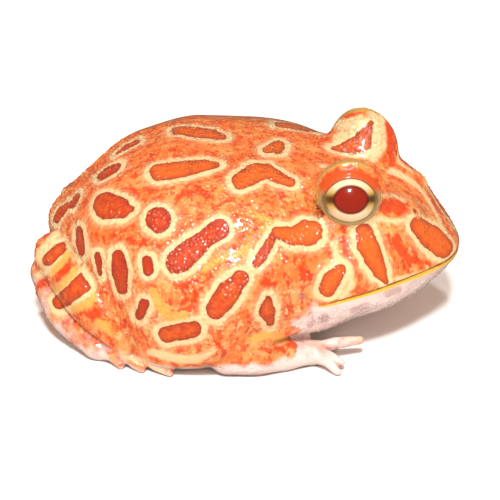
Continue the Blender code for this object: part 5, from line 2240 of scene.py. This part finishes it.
    def spots(self, graph: Graph, spot: Source, ragged: Source, colour: Source) -> Socket:
        """Red spots with a dark edge and a lighter core, as light as their tone.

        Args:
            graph: The material's graph.
            spot: Object coordinates.
            ragged: Noise about zero that roughens edges.
            colour: The colour below.

        Returns:
            The colour with the spots.
        """
        deep = graph.scaled(ragged, self.spot_edge, graph.attribute("spot"))
        light = graph.plus(graph.attribute("tone"), graph.swing(spot, self.core_noise, self.core_width))
        core = graph.mix(graph.mask(light, self.core), self.spot_red, self.spot_orange)
        edge = graph.plus(graph.mask(deep, self.wide_shade), graph.mask(deep, self.narrow_shade))
        core = graph.mix(edge, core, self.spot_dark)
        return graph.mix(graph.mask(deep, self.inside), colour, core)

    def mouth(self, graph: Graph, colour: Source) -> Socket:
        """A yellow lip with a thin brown slit over it, and painted shade in the pits of the nostrils.

        Args:
            graph: The material's graph.
            colour: The colour below.

        Returns:
            The colour with the mouth and nostrils.
        """
        slit = graph.attribute("slit")
        for start, end, cover, tint in (
            (self.lip_from, self.lip_to, self.lip_cover, self.lip),
            (self.slit_from, self.slit_to, self.slit_cover, self.slit),
        ):
            band = graph.times(graph.mask(slit, start), graph.mask(slit, end))
            band = graph.times(band, graph.attribute("lip"))
            colour = graph.mix(graph.times(band, cover), colour, tint)
        colour = graph.mix(graph.mask(graph.attribute("pit"), self.nostril_rim), colour, self.peach)
        # painted shade in the nostrils' pits
        return graph.mix(graph.mask(graph.attribute("pit"), self.nostril_pit_shade), colour, self.pit)


@dataclass(frozen=True)
class EyeFinish:
    """Colours of the iris and pupil under a clear wet cornea. Lengths are in mm."""

    pupil: Colour = paint(136, 34, 20)
    pupil_rim: Colour = paint(84, 22, 12)
    iris: Colour = paint(222, 204, 166)
    gold: Colour = paint(196, 158, 60)
    bar: Colour = paint(70, 40, 18)
    edge: Colour = paint(120, 100, 58)
    pupil_half: Pair = (2.5, 2.05)
    wobble_noise: Noise = Noise(900.0, 3.0)
    wobble_width: float = 0.3
    beside_pupil: Layer = Layer(1.7, 2.6)
    gold_band: Layer = Layer(2.1, 0.8)
    gold_cover: float = 0.85
    dark_band: Layer = Layer(1.15, 0.2)
    dark_cover: float = 0.95
    outer_edge: Layer = Layer(3.35, 3.85)
    # in the pupil's radii
    rim_step: Layer = Layer(1.14, 0.96)
    pupil_step: Layer = Layer(1.0, 0.86)

    def build(self) -> bpy.types.Material:
        """Reads the ball's own coordinates: to the snout, up and forwards.

        Returns:
            The material.
        """
        made, graph, shader = new_material(
            "frog_eye",
            {"Roughness": 0.25, "Specular IOR Level": 0.1, "Coat Weight": 0.8, "Coat Roughness": 0.015},
        )
        gaze = graph.add("ShaderNodeSeparateXYZ", {0: graph.attribute("gaze", "Vector")})
        across = gaze.outputs["X"]
        rise = gaze.outputs["Y"]
        wobble = graph.swing(graph.place(), self.wobble_noise, self.wobble_width)
        level = graph.math("ABSOLUTE", graph.plus(rise, wobble))
        aside = graph.mask(graph.math("ABSOLUTE", across), self.beside_pupil)
        gold = graph.times(graph.mask(level, self.gold_band), aside)
        colour = graph.mix(graph.times(gold, self.gold_cover), self.iris, self.gold)
        bar = graph.times(graph.mask(level, self.dark_band), aside)
        colour = graph.mix(graph.times(bar, self.dark_cover), colour, self.bar)
        colour = graph.mix(graph.mask(graph.length(across, rise), self.outer_edge), colour, self.edge)
        wide, high = self.pupil_half
        oval = graph.length(graph.math("DIVIDE", across, wide), graph.math("DIVIDE", rise, high))
        colour = graph.mix(graph.mask(oval, self.rim_step), colour, self.pupil_rim)
        colour = graph.mix(graph.mask(oval, self.pupil_step), colour, self.pupil)
        graph.feed(shader.inputs["Base Color"], colour)
        return made


@dataclass(frozen=True)
class LidFinish:
    """Olive lower lid and orange upper lid, thin and moist."""

    grain: bpy.types.NodeTree
    olive: Colour = paint(168, 140, 92)
    # dark colour at the lids' rim next to the ball: partly the lid's own dark margin, partly painted shade
    shade: Colour = paint(112, 86, 50)
    orange: Colour = paint(206, 78, 30)
    gold: Colour = paint(192, 140, 66)
    skin: Colour = paint(226, 130, 68)
    wobble_noise: Noise = Noise(800.0, 3.0)
    wobble_width: float = 0.3
    # shares of the way from the lid's rim outwards
    lower_shade: Layer = Layer(0.0, 0.4)
    lower_skin: Layer = Layer(0.6, 0.95)
    upper_shade: Layer = Layer(0.0, 0.25)
    upper_gold: Layer = Layer(0.72, 0.95)
    # sine of the turn where the upper lid takes over
    upper: Layer = Layer(0.05, 0.45)
    grain_share: float = 0.3

    def build(self) -> bpy.types.Material:
        """Reads the lid's own coordinates: cosine and sine of the turn, and the way outwards.

        Returns:
            The material.
        """
        made, graph, shader = new_material(
            "frog_lid",
            {"Roughness": 0.5, "Specular IOR Level": 0.2, "Coat Weight": 0.35, "Coat Roughness": 0.12},
        )
        local = graph.add("ShaderNodeSeparateXYZ", {0: graph.attribute("lid", "Vector")})
        spot = graph.place()
        outwards = graph.plus(local.outputs["Z"], graph.swing(spot, self.wobble_noise, self.wobble_width))
        low = graph.mix(graph.mask(outwards, self.lower_shade), self.shade, self.olive)
        low = graph.mix(graph.mask(outwards, self.lower_skin), low, self.skin)
        high = graph.mix(graph.mask(outwards, self.upper_shade), self.shade, self.orange)
        high = graph.mix(graph.mask(outwards, self.upper_gold), high, self.gold)
        colour = graph.mix(graph.mask(local.outputs["Y"], self.upper), low, high)
        graph.feed(shader.inputs["Base Color"], colour)
        height = graph.group(self.grain, {"Vector": spot, "Share": self.grain_share}).outputs["Height"]
        bump = graph.add("ShaderNodeBump", {"Height": height, "Strength": 1.0, "Distance": METRES})
        graph.feed(shader.inputs["Normal"], bump.outputs["Normal"])
        return made


@dataclass(frozen=True)
class Studio:
    """White floor, soft surround, a key lamp and a top lamp, and the photograph's camera."""

    view: PhotoView
    # powers in W, size and distance in m
    key_power: float = 24.0
    top_power: float = 6.0
    lamp_size: float = 0.17
    lamp_distance: float = 1.5
    key_lift: float = math.radians(51.0)
    top_lift: float = math.radians(88.0)
    surround: Triple = (0.50, 0.35, 0.26)
    gloss_share: float = 0.35
    floor_half: float = 3.0
    floor_white: float = 0.92
    clip_start: float = 0.01

    def build(self, shift: Array) -> None:
        """Places floor, surround, lamps and camera.

        Args:
            shift: Offset in mm from the body's own axes to the frame.
        """
        self.floor()
        self.world()
        self.lamp("key", self.key_lift, self.key_power)
        self.lamp("top", self.top_lift, self.top_power)
        self.camera(shift)

    def floor(self) -> None:
        """A white square floor that mirrors in nothing."""
        half = self.floor_half
        corners = [(-half, -half, 0), (half, -half, 0), (half, half, 0), (-half, half, 0)]
        mesh = bpy.data.meshes.new("floor")
        mesh.from_pydata(corners, [], [(0, 1, 2, 3)])
        floor = bpy.data.objects.new("floor", mesh)
        floor.visible_glossy = False
        bpy.context.scene.collection.objects.link(floor)
        white = (self.floor_white, self.floor_white, self.floor_white, 1.0)
        settings = {"Base Color": white, "Roughness": 0.9, "Specular IOR Level": 0.1}
        mesh.materials.append(new_material("studio_white", settings)[0])

    def world(self) -> None:
        """A warm surround that is dimmer in reflections."""
        world = bpy.data.worlds.new("surround")
        world.use_nodes = True
        back = world.node_tree.nodes["Background"]
        back.inputs["Color"].default_value = (*self.surround, 1.0)
        graph = Graph(world.node_tree)
        glossy = graph.add("ShaderNodeLightPath").outputs["Is Glossy Ray"]
        graph.feed(back.inputs["Strength"], graph.scaled(glossy, self.gloss_share - 1.0, 1.0))
        bpy.context.scene.world = world
        bpy.context.scene.view_settings.view_transform = "Standard"

    def lamp(self, name: str, lift: float, power: float) -> None:
        """A square area lamp that looks at the frog from the camera's side.

        Args:
            name: The lamp's name.
            lift: Its angle over the floor.
            power: Its power in W.
        """
        light = bpy.data.lights.new(name, "AREA")
        light.energy = power
        light.size = self.lamp_size
        lamp = bpy.data.objects.new(name, light)
        lamp.location = tuple((direction(self.view.azimuth, lift) * self.lamp_distance).tolist())
        lamp.rotation_euler = (math.pi / 2 - lift, 0.0, self.view.azimuth)
        bpy.context.scene.collection.objects.link(lamp)

    def camera(self, shift: Array) -> None:
        """The photograph's camera: it looks at the target from its azimuth and elevation.

        Args:
            shift: Offset in mm from the body's own axes to the frame.
        """
        back, _, _ = self.view.axes()
        data = bpy.data.cameras.new("photo_camera")
        data.sensor_width = self.view.sensor
        data.lens = self.view.sensor * self.view.scale * self.view.distance / self.view.width
        data.clip_start = self.clip_start
        camera = bpy.data.objects.new("photo_camera", data)
        place = (np.array(self.view.target) + shift + back * self.view.distance) * METRES
        camera.location = tuple(place.tolist())
        camera.rotation_euler = (math.pi / 2 - self.view.elevation, 0.0, self.view.azimuth)
        bpy.context.scene.collection.objects.link(camera)
        bpy.context.scene.camera = camera


FLESH = ("torso", "head", "lower_jaw")
PAIRED_FLESH = ("horn", "upper_arm", "forearm", "hand", "thigh", "shank", "foot")


def main() -> None:
    """Builds the skin, beads, eyes and studio in this order and reports each piece."""
    logging.basicConfig(level=logging.INFO, format="%(name)s %(message)s")
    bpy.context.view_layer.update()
    view = PhotoView()
    trunk = Trunk()
    seat = EyeSeat()
    shift = frame_shift(trunk)
    grain = Grain().build()
    skin_finish = SkinFinish(grain).build()
    eye_finish = EyeFinish().build()
    lid_finish = LidFinish(grain).build()

    skin = Skin(trunk, Orbit(), Limbs(), seat, Pattern(view))
    body = skin.build()
    body.data.materials.append(skin_finish)
    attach(body, "root")
    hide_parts(*FLESH, *(side + "_" + name for side in ("right", "left") for name in PAIRED_FLESH))
    body.data.calc_loop_triangles()
    LOG.info("skin: %d triangles", len(body.data.loop_triangles))

    beads = Beads().build(skin, body)
    beads.data.materials.append(skin_finish)
    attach(beads, "root")
    beads.data.calc_loop_triangles()
    LOG.info("skin_beads: %d triangles", len(beads.data.loop_triangles))

    for side in ("right", "left"):
        eye = Eye(seat, side, shift)
        ball = eye.ball()
        ball.data.materials.append(eye_finish)
        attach(ball, "root")
        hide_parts(side + "_eye")
        lids = eye.lids()
        lids.data.materials.append(lid_finish)
        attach(lids, "root")
        LOG.info("%s eye and lids", side)

    Studio(view).build(shift)


if __name__ == "__main__":
    main()
